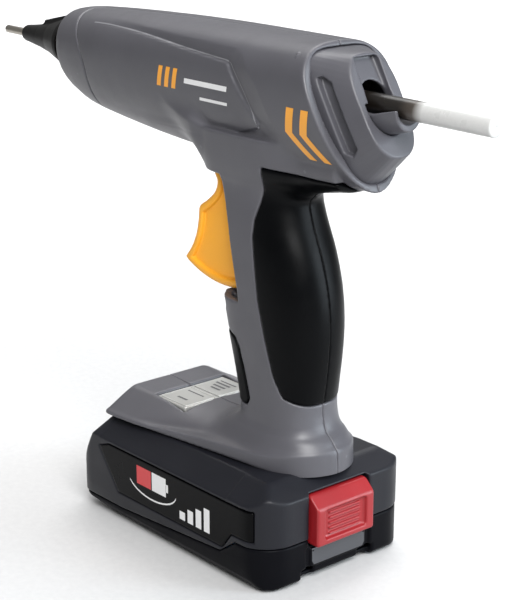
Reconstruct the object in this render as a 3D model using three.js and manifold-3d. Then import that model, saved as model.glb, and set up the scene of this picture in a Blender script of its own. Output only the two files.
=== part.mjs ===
// Cordless glue gun with a slide-on battery, as separate solids.
// Frame in millimetres: the nozzle points to -X, the glue stick goes in from +X, +Z is up,
// and the origin is on the battery's flat underside, on the centre plane.
import * as THREE from 'three';
import { mergeVertices } from 'three/addons/utils/BufferGeometryUtils.js';
import Module from 'manifold-3d';

const wasm = await Module();
wasm.setup();

// ---------- driving dimensions ----------
const GAP = 0.3;                 // clearance between neighbouring pieces
const WALL = 2.6;                // housing wall
const SKIN = 2.0;                // thickness of the soft grip
const FAR = 200;                 // larger than anything here, for cutting blocks

const AXIS_Z = 183;              // height of nozzle, melt chamber and glue stick
const STICK_R = 3.6;
const STICK_FRONT = -24;
const STICK_BACK = 131;

const REAR_TOP = { x: 58.5, z: 200 };      // the rear face is a plane through these two points
const REAR_BOTTOM = { x: 79, z: 151.6 };
const REAR_TILT = Math.atan2(REAR_BOTTOM.x - REAR_TOP.x, REAR_TOP.z - REAR_BOTTOM.z);

const PIVOT = { x: 6, z: 151 };  // trigger pin
const TRIGGER_REACH = 46.5;      // trigger's lower edge is an arc of this radius about the pin
const TRIGGER_HALF = 11;
const PIN_R = 1.75;
const BAY_HALF = 12.2;           // inner half-width of the space that the trigger swings in

const FOOT_BASE = 41.7;          // underside of the foot, just over the battery
const FOOT_TOP = 50;
const BATTERY_TOP = 41.4;
const BATTERY_FRONT = -58.5;
const BATTERY_BACK = 62;
const BATTERY_HALF = 38.5;
const TRENCH_HALF = 19;          // the battery's upper side has a trench for the foot's keel
const TRENCH_FLOOR = 33.6;
const TRENCH_END = 34;

const CELL_R = 9.2;
const CELL_LENGTH = 65;
const CELL_PITCH = 18.8;
const CELL_COUNT = 5;
const CELL_FIRST_X = -37;
const CELL_Z = 13.2;

// ---------- helpers: solids ----------
function toSolid(geometry) {
  const plain = geometry.clone();
  plain.deleteAttribute('normal');
  plain.deleteAttribute('uv');
  const merged = mergeVertices(plain, 1e-4);
  return new wasm.Manifold(new wasm.Mesh({
    numProp: 3,
    vertProperties: new Float32Array(merged.attributes.position.array),
    triVerts: new Uint32Array(merged.index.array),
  }));
}

function toGeometry(solid) {
  const mesh = solid.getMesh();
  const geometry = new THREE.BufferGeometry();
  geometry.setAttribute('position', new THREE.BufferAttribute(mesh.vertProperties, 3));
  geometry.setIndex(new THREE.BufferAttribute(mesh.triVerts, 1));
  return geometry;
}

function join(first, ...others) {
  return others.reduce((sum, other) => sum.add(other), first);
}

function cut(first, ...others) {
  return others.reduce((rest, other) => rest.subtract(other), first);
}

function box(x0, x1, y0, y1, z0, z1) {
  const geometry = new THREE.BoxGeometry(x1 - x0, y1 - y0, z1 - z0);
  geometry.translate((x0 + x1) / 2, (y0 + y1) / 2, (z0 + z1) / 2);
  return toSolid(geometry);
}

// Cylinder along 'x', 'y' or 'z' through the point (x, y, z) at its middle.
function rod(axis, radius, length, x, y, z, sides = 24, radiusEnd = radius) {
  const geometry = new THREE.CylinderGeometry(radiusEnd, radius, length, sides);
  if (axis === 'x') geometry.rotateZ(-Math.PI / 2);
  if (axis === 'z') geometry.rotateX(Math.PI / 2);
  geometry.translate(x, y, z);
  return toSolid(geometry);
}

// Solid of revolution about the stick axis; profile points are [x, radius], closing on themselves.
function turned(profile, sides = 24, z = AXIS_Z) {
  const points = profile.map(([x, radius]) => new THREE.Vector2(radius, x));
  points.push(points[0].clone());
  const geometry = new THREE.LatheGeometry(points, sides);
  geometry.rotateZ(-Math.PI / 2);
  geometry.translate(0, 0, z);
  return toSolid(geometry);
}

// Outline [x, z] pulled straight along Y.
function prism(outline, y0, y1, curveSegments = 5) {
  const shape = Array.isArray(outline)
    ? new THREE.Shape(outline.map(([x, z]) => new THREE.Vector2(x, z)))
    : outline;
  const geometry = new THREE.ExtrudeGeometry(shape, {
    depth: y1 - y0, bevelEnabled: false, curveSegments,
  });
  geometry.rotateX(Math.PI / 2);
  geometry.translate(0, y1, 0);
  return toSolid(geometry);
}

// Outline in the XY plane pulled straight along Z.
function slab(shape, z0, z1) {
  const geometry = new THREE.ExtrudeGeometry(shape, {
    depth: z1 - z0, bevelEnabled: false, curveSegments: 3,
  });
  geometry.translate(0, 0, z0);
  return toSolid(geometry);
}

// Closed skin through a row of rings that all have the same number of points.
function loft(rings) {
  const count = rings[0].length;
  const positions = rings.flat().flatMap((p) => [p.x, p.y, p.z]);
  const index = [];
  for (let r = 0; r + 1 < rings.length; r++) {
    for (let i = 0; i < count; i++) {
      const a = r * count + i;
      const b = r * count + ((i + 1) % count);
      index.push(a, b, b + count, a, b + count, a + count);
    }
  }
  for (const [start, flip] of [[0, true], [(rings.length - 1) * count, false]]) {
    const centre = new THREE.Vector3();
    const ring = rings[start / count];
    ring.forEach((p) => centre.addScaledVector(p, 1 / count));
    const middle = positions.length / 3;
    positions.push(centre.x, centre.y, centre.z);
    for (let i = 0; i < count; i++) {
      const a = start + i;
      const b = start + ((i + 1) % count);
      index.push(...(flip ? [middle, b, a] : [middle, a, b]));
    }
  }
  const geometry = new THREE.BufferGeometry();
  geometry.setAttribute('position', new THREE.Float32BufferAttribute(positions, 3));
  geometry.setIndex(index);
  const solid = toSolid(geometry);
  if (solid.volume() > 0) return solid;
  for (let i = 0; i < index.length; i += 3) [index[i], index[i + 1]] = [index[i + 1], index[i]];
  geometry.setIndex(index);
  return toSolid(geometry);
}

function power(value, exponent) {
  return Math.sign(value) * Math.abs(value) ** exponent;
}

// Straight-line reading of a table of [position, value] pairs.
function along(table, position) {
  if (position <= table[0][0]) return table[0][1];
  for (let i = 1; i < table.length; i++) {
    const [p0, v0] = table[i - 1];
    const [p1, v1] = table[i];
    if (position <= p1) return v0 + ((v1 - v0) * (position - p0)) / (p1 - p0);
  }
  return table[table.length - 1][1];
}

// ---------- barrel ----------
const BARREL_STATIONS = [-105, -101, -96, -90, -78, -60, -22, 20, 84];
const BARREL_SIDES = 20;
const BARREL_TOP = [[-105, 191.6], [-101, 194.6], [-96, 197.2], [-90, 199], [-60, 200.4], [-14, 201.6],
  [84, 202]];
const BARREL_LOW = [[-105, 174.2], [-101, 170.8], [-96, 167.6], [-90, 164.4], [-78, 161], [-38, 156.6],
  [14, 153], [84, 151.4]];
const BARREL_WIDTH = [[-105, 8.6], [-101, 11.8], [-96, 15], [-90, 17.4], [-60, 20.6], [-14, 21.8], [84, 21]];
const BARREL_WIDEST = [[-105, AXIS_Z], [-90, 184], [-38, 186], [84, 187]];

// One cross-section: flat-shouldered above its widest line, narrowing to a keel below it.
function barrelRing(x, inset) {
  const top = along(BARREL_TOP, x) - inset;
  const low = along(BARREL_LOW, x) + inset;
  const half = along(BARREL_WIDTH, x) - inset;
  const widest = along(BARREL_WIDEST, x);
  const ring = [];
  for (let i = 0; i < BARREL_SIDES; i++) {
    const angle = (2 * Math.PI * i) / BARREL_SIDES;
    const upper = Math.sin(angle) > 0;
    const sharp = upper ? 2.3 : 1.85;
    const rise = upper ? top - widest : widest - low;
    ring.push(new THREE.Vector3(
      x,
      half * power(Math.cos(angle), 2 / sharp),
      widest + rise * power(Math.sin(angle), 2 / sharp),
    ));
  }
  return ring;
}

function rearHalfSpace(offset) {
  // everything behind the tilted rear plane, moved forward by offset
  const geometry = new THREE.BoxGeometry(FAR, FAR, 2 * FAR);
  geometry.translate(FAR / 2, 0, 0);
  geometry.rotateY(-REAR_TILT);
  geometry.translate((REAR_TOP.x + REAR_BOTTOM.x) / 2 - offset, 0, (REAR_TOP.z + REAR_BOTTOM.z) / 2);
  return toSolid(geometry);
}

// The barrel's form before its rear end is cut to the tilted plane.
function barrelBlank(inset) {
  return loft(BARREL_STATIONS.map((x) => barrelRing(x, inset)));
}

function barrel(inset) {
  return barrelBlank(inset).subtract(rearHalfSpace(0));
}

// The nose collar ends on a curve that bows rearward at mid height.
function noseRegion(shift) {
  const shape = new THREE.Shape();
  shape.moveTo(-FAR, 140);
  shape.lineTo(-76 + shift, 140);
  shape.lineTo(-76 + shift, 158);
  shape.quadraticCurveTo(-74 + shift, 182, -90 + shift, 204);
  shape.lineTo(-FAR, 204);
  return prism(shape, -FAR, FAR);
}

// ---------- handle ----------
const HANDLE_LEVELS = [44, 50, 53, 57, 66, 82, 98, 112, 126, 136, 143, 149, 155, 166];
const HANDLE_SIDES = 18;
const HANDLE_FRONT = [[44, 8], [50, 11], [53, 14], [57, 16], [70, 13.2], [93, 8], [120, 1],
  [143, -6], [149, -8], [155, -12], [166, -18]];
const HANDLE_BACK = [[44, 57], [50, 56.4], [53, 54.4], [57, 52.4], [64, 51.8], [74, 53.2], [86, 54.6],
  [98, 54.8], [110, 53.2], [122, 49.6], [134, 44.6], [143, 42.6], [149, 47], [155, 56], [166, 60]];
const HANDLE_HALF = [[44, 17], [50, 17.4], [53, 16.4], [57, 15.4], [70, 15], [98, 16.4], [122, 16.6],
  [143, 15.6], [149, 16.4], [155, 18], [166, 20]];

function handle(inset) {
  const rings = HANDLE_LEVELS.map((z) => {
    const front = along(HANDLE_FRONT, z) + inset;
    const back = along(HANDLE_BACK, z) - inset;
    const half = along(HANDLE_HALF, z) - inset;
    const ring = [];
    for (let i = 0; i < HANDLE_SIDES; i++) {
      const angle = (2 * Math.PI * i) / HANDLE_SIDES;
      ring.push(new THREE.Vector3(
        (front + back) / 2 + ((back - front) / 2) * power(Math.cos(angle), 2 / 2.5),
        half * power(Math.sin(angle), 2 / 2.5),
        z,
      ));
    }
    return ring;
  });
  return loft(rings);
}

// ---------- foot ----------
const FOOT_FRONT = -42.5;
const FOOT_HALF = [[FOOT_FRONT, 33], [-40, 34], [-30, 28.8], [-14, 26.8], [5, 22.6], [26, 21.4], [38, 20],
  [46.5, 17.6], [53, 12.7], [57, 7], [58.5, 2]];
const FOOT_FULL = FOOT_TOP - FOOT_BASE;
const FOOT_RISE = [[FOOT_FRONT, FOOT_FULL - 1], [-40, FOOT_FULL], [38, FOOT_FULL], [46.5, 7.6],
  [53, 6.6], [57, 5.4], [58.5, 4.6]];
const FOOT_SQUARE = [[FOOT_FRONT, 0.55], [-30, 0.65], [-14, 0.85], [5, 1]];   // lower is squarer
const FOOT_ARCH_STEPS = 12;

// Row of arches: each is flat underneath and rounded over the top.
function foot(inset) {
  return loft(FOOT_HALF.map(([station, width]) => {
    const x = station < 0 ? station + inset : station - inset;
    const half = Math.max(width - inset * 1.2, 0.5);
    const rise = along(FOOT_RISE, station) - inset;
    const square = along(FOOT_SQUARE, station);
    const arch = [];
    for (let i = 0; i <= FOOT_ARCH_STEPS; i++) {
      const angle = (Math.PI * i) / FOOT_ARCH_STEPS;
      const z = FOOT_BASE + rise * power(Math.sin(angle), square);
      arch.push(new THREE.Vector3(x, half * power(Math.cos(angle), square), z));
    }
    if (inset > 0) {
      arch.forEach((point, i) => { if (i === 0 || i === FOOT_ARCH_STEPS) point.z -= 5; });
    }
    return arch;
  }));
}

// ---------- the two housing halves ----------
// Side view of the soft grip: the back of the handle, reaching up under the barrel.
function gripRegion(shift) {
  const shape = new THREE.Shape();
  shape.moveTo(90, 172);
  shape.lineTo(36 - shift, 160);
  shape.lineTo(33.6 - shift, 147);
  shape.lineTo(29.6 - shift, 134);
  shape.quadraticCurveTo(28.6 - shift, 128, 30 - shift, 122);
  shape.lineTo(36 - shift, 90);
  shape.lineTo(39.8 - shift, 77);
  shape.quadraticCurveTo(42.4 - shift, 69.6 - shift, 50 - shift, 68 - shift);
  shape.lineTo(90, 68 - shift);
  return prism(shape, -FAR, FAR);
}

// Side view of the soft strip on the front of the handle.
function frontStripRegion(shift) {
  const shape = new THREE.Shape();
  shape.moveTo(-20, 88 + shift);
  shape.lineTo(6, 88 + shift);
  shape.quadraticCurveTo(12 + shift, 87 + shift, 13 + shift, 81);
  shape.lineTo(18 + shift, 61 - shift);
  shape.lineTo(-20, 61 - shift);
  return prism(shape, -FAR, FAR);
}

// Layer between two insets of the handle's surface; a negative inset lies outside it.
function gripLayer(from, to, clearance) {
  return cut(handle(from), handle(to), barrel(-1 - clearance));
}

// Housing screws go in from the right-hand side, at these places [x, z].
const SCREWS = [[-58, 168], [-24, 163.6], [34, 163], [24, 96], [28, 71]];
const SCREW_HEAD_Y = 9;
const SCREW_BORE_R = 1.75;

const TRIGGER_BAY = [[-60, 101.4], [21, 101.4], [20.5, 106], [14.2, 134], [10.2, 148.6], [-60, 148.6]];
const SIDE_PANEL = [[-70, 197], [-48, 197.6], [24, 192.5], [37, 172], [35.4, 168.4], [10, 163.4], [-70, 163]];

const KEEL = { x0: -34, x1: 30, half: 17.8, low: TRENCH_FLOOR + 0.8 };
const RAIL = { half: 20.6, low: TRENCH_FLOOR + 1.8, high: TRENCH_FLOOR + 3.8 };
const CONTACT_Y = [-8, 8];

function rearSeat() {
  return barrelBlank(2).intersect(rearHalfSpace(5.3));
}

// Hangs under the foot into the battery's trench, with a rail on each side.
function keel() {
  return join(
    box(KEEL.x0, KEEL.x1, -KEEL.half, KEEL.half, KEEL.low, FOOT_BASE + 4),
    box(KEEL.x0, KEEL.x1, -RAIL.half, RAIL.half, RAIL.low, RAIL.high),
  );
}

function contactSlots() {
  return join(...CONTACT_Y.map((y) => box(12.6, 60, y - 1.4, y + 1.4, 20, TRENCH_FLOOR + 8)));
}

function insideRibs(outer) {
  const bosses = SCREWS.map(([x, z]) => rod('y', 4.6, 60, x, 0, z, 12));
  const springSeat = box(34.3, 36.2, -20, 20, 114, 132);
  return join(...bosses, springSeat).intersect(outer);
}

function housingHalf(side) {
  const outer = join(barrel(0), handle(0), foot(0));
  const inner = join(barrelBlank(WALL), handle(SKIN + GAP + WALL), foot(WALL));
  const shell = cut(outer, inner).add(insideRibs(outer)).add(keel());
  const screwRoom = SCREWS.map(([x, z]) => rod('y', SCREW_BORE_R, 60, x, 14, z, 12));
  const headRoom = SCREWS.map(([x, z]) => rod('y', 3.4, 60, x, SCREW_HEAD_Y + 30, z, 16));
  const openings = [
    rearSeat(),
    box(KEEL.x0 + WALL, KEEL.x1 - WALL, -15, 15, KEEL.low + WALL, FOOT_BASE + 6),
    contactSlots(),
    prism(TRIGGER_BAY, -FAR, FAR),
    box(-12, 34, -BAY_HALF, BAY_HALF, 103.6, 154),
    box(-12, 20, -BAY_HALF, BAY_HALF, 103.6, 168),
    noseRegion(GAP),
    gripLayer(-1, SKIN + GAP, 0).intersect(gripRegion(GAP)),
    gripLayer(-1, SKIN + GAP, 0).intersect(frontStripRegion(GAP)),
    cut(prism(SIDE_PANEL, -FAR, FAR), barrelBlank(0.8)),
    rod('y', PIN_R + 0.3, 34, PIVOT.x, 0, PIVOT.z, 20),
    keyRoom(),
    ...screwRoom,
  ];
  const half = cut(shell, ...openings).intersect(halfSpace(side));
  return side > 0 ? cut(half, ...headRoom) : half;
}

function halfSpace(side) {
  return side < 0 ? box(-FAR, FAR, -FAR, -GAP / 2, 0, 250) : box(-FAR, FAR, GAP / 2, FAR, 0, 250);
}

function screw(x, z) {
  const head = rod('y', 3.1, 2, x, SCREW_HEAD_Y + 1.2, z, 16);
  const shank = rod('y', SCREW_BORE_R - GAP, 18, x, SCREW_HEAD_Y - 8.6, z, 12);
  const recess = rod('y', 1.3, 1.2, x, SCREW_HEAD_Y + 2, z, 6);
  return cut(head.add(shank), recess);
}

// ---------- soft grips ----------
function gripHalf(side) {
  return gripLayer(0, SKIN, GAP).intersect(gripRegion(0)).intersect(halfSpace(side));
}

function frontGrip() {
  return gripLayer(0, SKIN, GAP).intersect(frontStripRegion(0)).intersect(box(-FAR, 21, -FAR, FAR, 0, 250));
}

// ---------- nose and melting end ----------
const CHAMBER_R = 8.4;

function noseCollar() {
  const skin = cut(barrel(0), barrel(WALL), rod('x', 8.2, 60, -110, 0, AXIS_Z, 24));
  return skin.intersect(noseRegion(0));
}

function nozzleSleeve() {
  const cone = turned([[-141, 1.9], [-141, 3.2], [-129, 4.9], [-118, 6.2], [-111, 7.8], [-105.4, 8.6],
    [-105.4, 7.7], [-100, 7.7], [-100, 5.3], [-116, 4.5], [-129, 4.1], [-132, 1.9]]);
  const fin = prism([[-127, AXIS_Z + 4.4], [-124, AXIS_Z + 6.4], [-107, AXIS_Z + 9.4], [-107, AXIS_Z + 5.4]],
    -1.6, 1.6);
  const inside = turned([[-140, 0.1], [-140, 4.9], [-105.3, 7.9], [-100, 7.9], [-100, 0.1]]);
  return cone.add(cut(fin, inside));
}

function nozzle() {
  return turned([[-157, 0.8], [-157, 1.3], [-156, 1.55], [-131, 1.55], [-128, 3.6], [-104.3, 3.6],
    [-104.3, 2.6], [-126, 1.2]], 24);
}

function meltChamber() {
  const body = turned([[-104, 1.6], [-104, 5], [-93, 5], [-93, CHAMBER_R], [-36, CHAMBER_R], [-36, 6.4],
    [-30, 6.4], [-30, 4.4], [-78, 4.1], [-96, 1.6]], 24);
  const back = box(-88, -40, -6, 6, AXIS_Z + 6, AXIS_Z + 11);
  const clear = turned([[-110, 0.1], [-110, 4.6], [-20, 4.6], [-20, 0.1]], 20);
  const heaterRoom = box(-85, -30, -4, 4, AXIS_Z + 7.4, AXIS_Z + 9.4);
  return cut(body.add(cut(back, clear)), heaterRoom);
}

function heaterElement() {
  return box(-84.6, -38, -3.7, 3.7, AXIS_Z + 7.7, AXIS_Z + 9.1);
}

function thermalSensor() {
  return rod('x', 1.6, 9, -74, 0, AXIS_Z - CHAMBER_R - 2, 16);
}

// Ring that holds the melt chamber clear of the housing.
function chamberRing(x) {
  const radius = 12.6;
  const plate = turned([[x, CHAMBER_R + GAP], [x, radius], [x + 4, radius], [x + 4, CHAMBER_R + GAP]], 24);
  return cut(plate, box(x - 1, x + 5, -6.4, 6.4, AXIS_Z + 4, AXIS_Z + 20));
}

function inletSleeve() {
  return turned([[-35.6, 6.8], [-35.6, 9], [-24, 9], [-18, 6.4], [-18, 4.1], [-29.6, 4.1], [-29.6, 6.8]], 24);
}

// ---------- rear ----------
// Half outlines [y, z] from the keel up: where the cover leaves the housing, and its outer face.
const COVER_BASE = [[0, 154.6], [3, 155.9], [9, 163.8], [11.2, 170.7], [14.6, 184.1], [15.6, 192.4],
  [13.6, 198], [0, 199.4]];
const COVER_FACE = [[0, 166.4], [5.2, 167.6], [8.9, 170.9], [10.3, 175.3], [10.3, 184], [10.3, 190.6],
  [5, 199.2], [0, 199.2]];
const FACE_TILT = Math.PI / 6;   // the cover's outer face leans more than the rear plane
const FACE_X = 79.6;             // where that face crosses the stick axis
const COVER_WALL = 2.6;

function rearPlaneX(z) {
  return REAR_BOTTOM.x - (z - REAR_BOTTOM.z) * Math.tan(REAR_TILT);
}

function coverFaceX(z) {
  return FACE_X - (z - AXIS_Z) * Math.tan(FACE_TILT);
}

function coverRing(half, placeX, inset, shift) {
  const middle = 178;
  const scale = (value, centre) => centre + (value - centre) * (1 - inset / 12);
  const side = half.map(([y, z]) => [scale(y, 0), scale(z, middle)]);
  const mirrored = side.slice(1, -1).reverse().map(([y, z]) => [-y, z]);
  return [...side, ...mirrored].map(([y, z]) => new THREE.Vector3(placeX(z) + shift, y, z));
}

// Tapering hood from the rear plane out to the leaning face.
function hood(inset, front, back) {
  return loft([
    coverRing(COVER_BASE, rearPlaneX, inset, front),
    coverRing(COVER_FACE, coverFaceX, inset, back),
  ]);
}

function ventSlot(side) {
  const outline = [[60.5, 191.5], [64, 189.5], [78, 169], [75.6, 167.4]];
  return prism(outline, side < 0 ? -20 : 8.4, side < 0 ? -8.4 : 20);
}

function rearCover() {
  const plate = cut(barrelBlank(2 + GAP).intersect(rearHalfSpace(5)), rearHalfSpace(0.2));
  const hollow = hood(COVER_WALL, -8, -COVER_WALL);
  const channel = prism([[60, 210], [60, 196], [78, AXIS_Z], [95, AXIS_Z], [95, 210]], -4.2, 4.2);
  const shallow = cut(channel, hood(0, -8, -1.4));
  const root = hood(0, -3, 0).intersect(barrelBlank(2 + GAP));
  const solid = plate.add(root).add(hood(0, GAP, 0));
  return cut(solid, hollow, shallow, ventSlot(-1), ventSlot(1), guideBody(GAP));
}

const GUIDE_STEPS = 8;

// One U-shaped section of the stick guide: upright sides, round underneath.
function guideRing(x, half, low, top) {
  const ring = [];
  for (let i = 0; i <= GUIDE_STEPS; i++) {
    const angle = Math.PI + (Math.PI * i) / GUIDE_STEPS;
    ring.push(new THREE.Vector3(x, half * Math.cos(angle), AXIS_Z + (AXIS_Z - low) * Math.sin(angle)));
  }
  ring.push(new THREE.Vector3(x, half, top), new THREE.Vector3(x, -half, top));
  return ring;
}

// Starts as a deep U inside the cover and tapers to a scoop under the stick.
function guideBody(grow) {
  return loft([
    guideRing(66 - grow, 7.7 + grow, 172.4 - grow, 190 + grow),
    guideRing(84, 7.7 + grow, 172.4 - grow, 190 + grow),
    guideRing(96.4, 6 + grow, 177.2 - grow, 190 + grow),
  ]);
}

function stickGuide() {
  const above = prism([[78.6, 220], [82, AXIS_Z + 0.6], [110, AXIS_Z + 0.6], [110, 220]], -FAR, FAR);
  const endLine = [[93.4, 165], [97, AXIS_Z + 3], [120, AXIS_Z + 3], [120, 160], [91, 160], [91, 165]];
  const slantedEnd = prism(endLine, -FAR, FAR);
  const stickBore = rod('x', 4.9, 120, 60, 0, AXIS_Z, 20);
  return cut(guideBody(0), above, slantedEnd, stickBore);
}

// ---------- moving feed ----------
const DRIVE = { x: 4.5, z: 173, r: 1.3 };   // pin that the trigger's arms move the carriage by

function triggerOutline() {
  const shape = new THREE.Shape();
  shape.moveTo(-1.6, 148);
  shape.quadraticCurveTo(3.6, 144, -0.6, 139);
  shape.quadraticCurveTo(-3.4, 135.6, -9.4, 131.6);
  shape.quadraticCurveTo(-9.6, 121, -17.6, 111.2);
  const start = Math.atan2(111.2 - PIVOT.z, -17.6 - PIVOT.x);
  const end = Math.atan2(-TRIGGER_REACH, 13);
  shape.absarc(PIVOT.x, PIVOT.z, TRIGGER_REACH, start, end, false);
  shape.lineTo(16, 130);
  shape.lineTo(13, 156);
  shape.lineTo(1, 156);
  shape.lineTo(-1.6, 153);
  return shape;
}

function trigger() {
  const blade = prism(triggerOutline(), -TRIGGER_HALF, TRIGGER_HALF);
  const hollow = prism([[1, 112], [-2, 128], [4, 141], [30, 141], [30, 108]], -8.4, 8.4);
  const arms = join(
    box(0.6, 8.4, -TRIGGER_HALF, -8.2, 150, 176),
    box(0.6, 8.4, 8.2, TRIGGER_HALF, 150, 176),
  );
  const betweenArms = box(-10, 30, -8.1, 8.1, 155, 190);
  const pinRoom = rod('y', PIN_R + 0.06, 40, PIVOT.x, 0, PIVOT.z, 24);
  const driveRoom = rod('y', DRIVE.r + GAP, 40, DRIVE.x, 0, DRIVE.z, 16);
  return cut(blade.add(arms), hollow, betweenArms, pinRoom, driveRoom);
}

function carriage() {
  const shell = box(-8, 17, -7.6, 7.6, 167, 191);
  const bore = rod('x', 4.3, 60, 6, 0, AXIS_Z, 24);
  const slot = box(2.7, 6.3, -9, 9, 165, 177);
  const jawRoom = box(8, 16, -4.4, 4.4, AXIS_Z + 2, 193);
  return cut(shell, bore, slot, jawRoom);
}

function gripJaw() {
  return prism([[8.6, 192], [15.4, 192], [15.4, 188.6], [11.4, AXIS_Z + 4], [9, AXIS_Z + 4]], -3.9, 3.9);
}

function triggerPin() {
  return rod('y', PIN_R, 31, PIVOT.x, 0, PIVOT.z, 24);
}

function drivePin() {
  return rod('y', DRIVE.r, 21.4, DRIVE.x, 0, DRIVE.z, 16);
}

// Coil of wire about an axis along X.
function coil(radius, wire, turns, x0, x1, y, z) {
  const steps = turns * 8;
  const points = [];
  for (let i = 0; i <= steps; i++) {
    const angle = (2 * Math.PI * turns * i) / steps;
    points.push(new THREE.Vector3(
      x0 + wire + ((x1 - x0 - 2 * wire) * i) / steps,
      y + radius * Math.cos(angle),
      z + radius * Math.sin(angle),
    ));
  }
  return tube(points, wire, steps, 2);
}

function tube(points, radius, steps, curveSegments) {
  const section = new THREE.Shape();
  section.absarc(0, 0, radius, 0, 2 * Math.PI, false);
  return toSolid(new THREE.ExtrudeGeometry(section, {
    steps, curveSegments, bevelEnabled: false, extrudePath: new THREE.CatmullRomCurve3(points),
  }));
}

function glueStick() {
  return rod('x', STICK_R, STICK_BACK - STICK_FRONT, (STICK_BACK + STICK_FRONT) / 2, 0, AXIS_Z, 24);
}

// ---------- controls and electronics in the foot ----------
const KEY_X = [-28, -11];
const KEY_ROWS = [[-16.4, -0.8], [0.8, 16.4]];
const KEY_BASE = 47.4;
const KEY_TOP = 49.9;

function keyRoom() {
  return box(KEY_X[0] - 1, KEY_X[1] + 1, -17.6, 17.6, KEY_BASE - 0.4, 60);
}

function keyFrame() {
  const plate = box(KEY_X[0] - 0.7, KEY_X[1] + 0.7, -17.3, 17.3, KEY_BASE, 49.6);
  const rooms = KEY_ROWS.map(([y0, y1]) => box(KEY_X[0], KEY_X[1], y0, y1, KEY_BASE + 0.6, 60));
  return cut(plate, ...rooms);
}

function key([y0, y1]) {
  return box(KEY_X[0] + GAP, KEY_X[1] - GAP, y0 + GAP, y1 - GAP, KEY_TOP - 1, KEY_TOP);
}

function controlBoard() {
  return box(-28, 26, -13.4, 13.4, 44.2, 45.6);
}

function contactBlock() {
  const block = box(11, 27, -13.6, 13.6, KEEL.low + WALL + GAP, 43.8);
  return cut(block, contactSlots());
}

// Two leads from the board up the handle to the heating element.
function heaterLead(side) {
  const points = [
    [20, side * 6, 47.4], [26, side * 5, 52], [36, side * 3, 62], [40, side * 3, 84], [41.4, side * 3, 108],
    [38.2, side * 3, 131], [34, side * 4, 144], [24, side * 6.4, 156], [15, side * 11.4, 170],
    [6, side * 14, 177], [-8, side * 14, 180], [-26, side * 9, 189], [-36, side * 2.4, AXIS_Z + 11.6],
  ].map(([x, y, z]) => new THREE.Vector3(x, y, z));
  return tube(points, 0.9, 30, 2);
}

// ---------- battery ----------
const BATTERY_SEAM = [[-90, 5.5], [-26, 6], [36, 10.6], [45, 17], [90, 17.6]];
const SHOULDER = { y: 28, z: 33.5 };
const CASE_WALL = 2.4;
const LABEL_DEPTH = 0.7;
const LATCH = { half: 15, low: 14.6, high: 35 };
const HOOK = { x0: 46.5, x1: 49.5, half: 7 };
const BATTERY_SCREWS = [[-48, -30, 4.6], [-48, 30, 4.6], [53, -25, 1.8], [53, 25, 1.8]];   // x, y, seat

function batteryOutline(inset) {
  return [
    [-36 + inset, inset], [-50 + inset, 3.2 + inset], [-56.6 + inset, 7.4], [-58.5 + inset, 12],
    [-46 + inset * 1.2, 33.5 - inset / 2], [-42.6 + inset * 1.2, BATTERY_TOP - inset],
    [52 - inset, BATTERY_TOP - inset],
    [BATTERY_BACK - inset, 35 - inset / 2], [BATTERY_BACK - inset, 2.4 + inset],
    [BATTERY_BACK - 2.4 - inset, inset],
  ];
}

function batteryPlan(inset) {
  const half = BATTERY_HALF - inset;
  const back = BATTERY_BACK - inset;
  const front = BATTERY_FRONT + inset;
  const rear = 15 - inset;
  const nose = 12 - inset;
  const shape = new THREE.Shape();
  shape.moveTo(front + nose, -half);
  shape.lineTo(back - rear, -half);
  shape.absarc(back - rear, -half + rear, rear, -Math.PI / 2, 0, false);
  shape.absarc(back - rear, half - rear, rear, 0, Math.PI / 2, false);
  shape.lineTo(front + nose, half);
  shape.absarc(front + nose, half - nose, nose, Math.PI / 2, Math.PI, false);
  shape.absarc(front + nose, -half + nose, nose, Math.PI, 1.5 * Math.PI, false);
  return slab(shape, -5, 60);
}

// End view: upright sides under sloped shoulders.
function batteryEnd(inset) {
  const half = BATTERY_HALF - inset;
  const side = [[half - 4, inset], [half - 1.2, 4 + inset / 2], [half, 11], [half, SHOULDER.z - inset / 2],
    [SHOULDER.y - inset / 2, BATTERY_TOP - inset]];
  const points = [...side.map(([y, z]) => [-y, z]), ...side.reverse()];
  return loft([-90, 90].map((x) => points.map(([y, z]) => new THREE.Vector3(x, y, z))));
}

function batteryBlock(inset) {
  return prism(batteryOutline(inset), -FAR, FAR)
    .intersect(batteryPlan(inset))
    .intersect(batteryEnd(inset));
}

function belowSeam(shift) {
  const outline = [[-90, -10], ...BATTERY_SEAM.map(([x, z]) => [x, z + shift]), [90, -10]];
  return prism(outline, -FAR, FAR);
}

// Space behind the release button.
function latchRoom(grow) {
  return box(52, 80, -LATCH.half - grow, LATCH.half + grow, LATCH.low - grow, LATCH.high + grow);
}

// Side view of the glossy label that wraps from each flank towards the rear corner.
function labelRegion(side, grow) {
  const outline = [[-41 - grow, 29.6 + grow], [-28.4 - grow, 13 - grow], [37.6 + grow, 13 - grow],
    [43 + grow, 20 - grow], [54 + grow, 20 - grow], [54 + grow, 32 + grow], [-34, 32 + grow]];
  return prism(outline, side < 0 ? -FAR : 20, side < 0 ? -20 : FAR);
}

function labelRoom(side) {
  return cut(labelRegion(side, GAP), batteryBlock(LABEL_DEPTH + GAP));
}

function trench() {
  return join(
    box(-FAR, TRENCH_END, -TRENCH_HALF, TRENCH_HALF, TRENCH_FLOOR, 60),
    box(-FAR, TRENCH_END, -RAIL.half - 0.6, RAIL.half + 0.6, RAIL.low - 0.5, RAIL.high + 0.5),
  );
}

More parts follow.
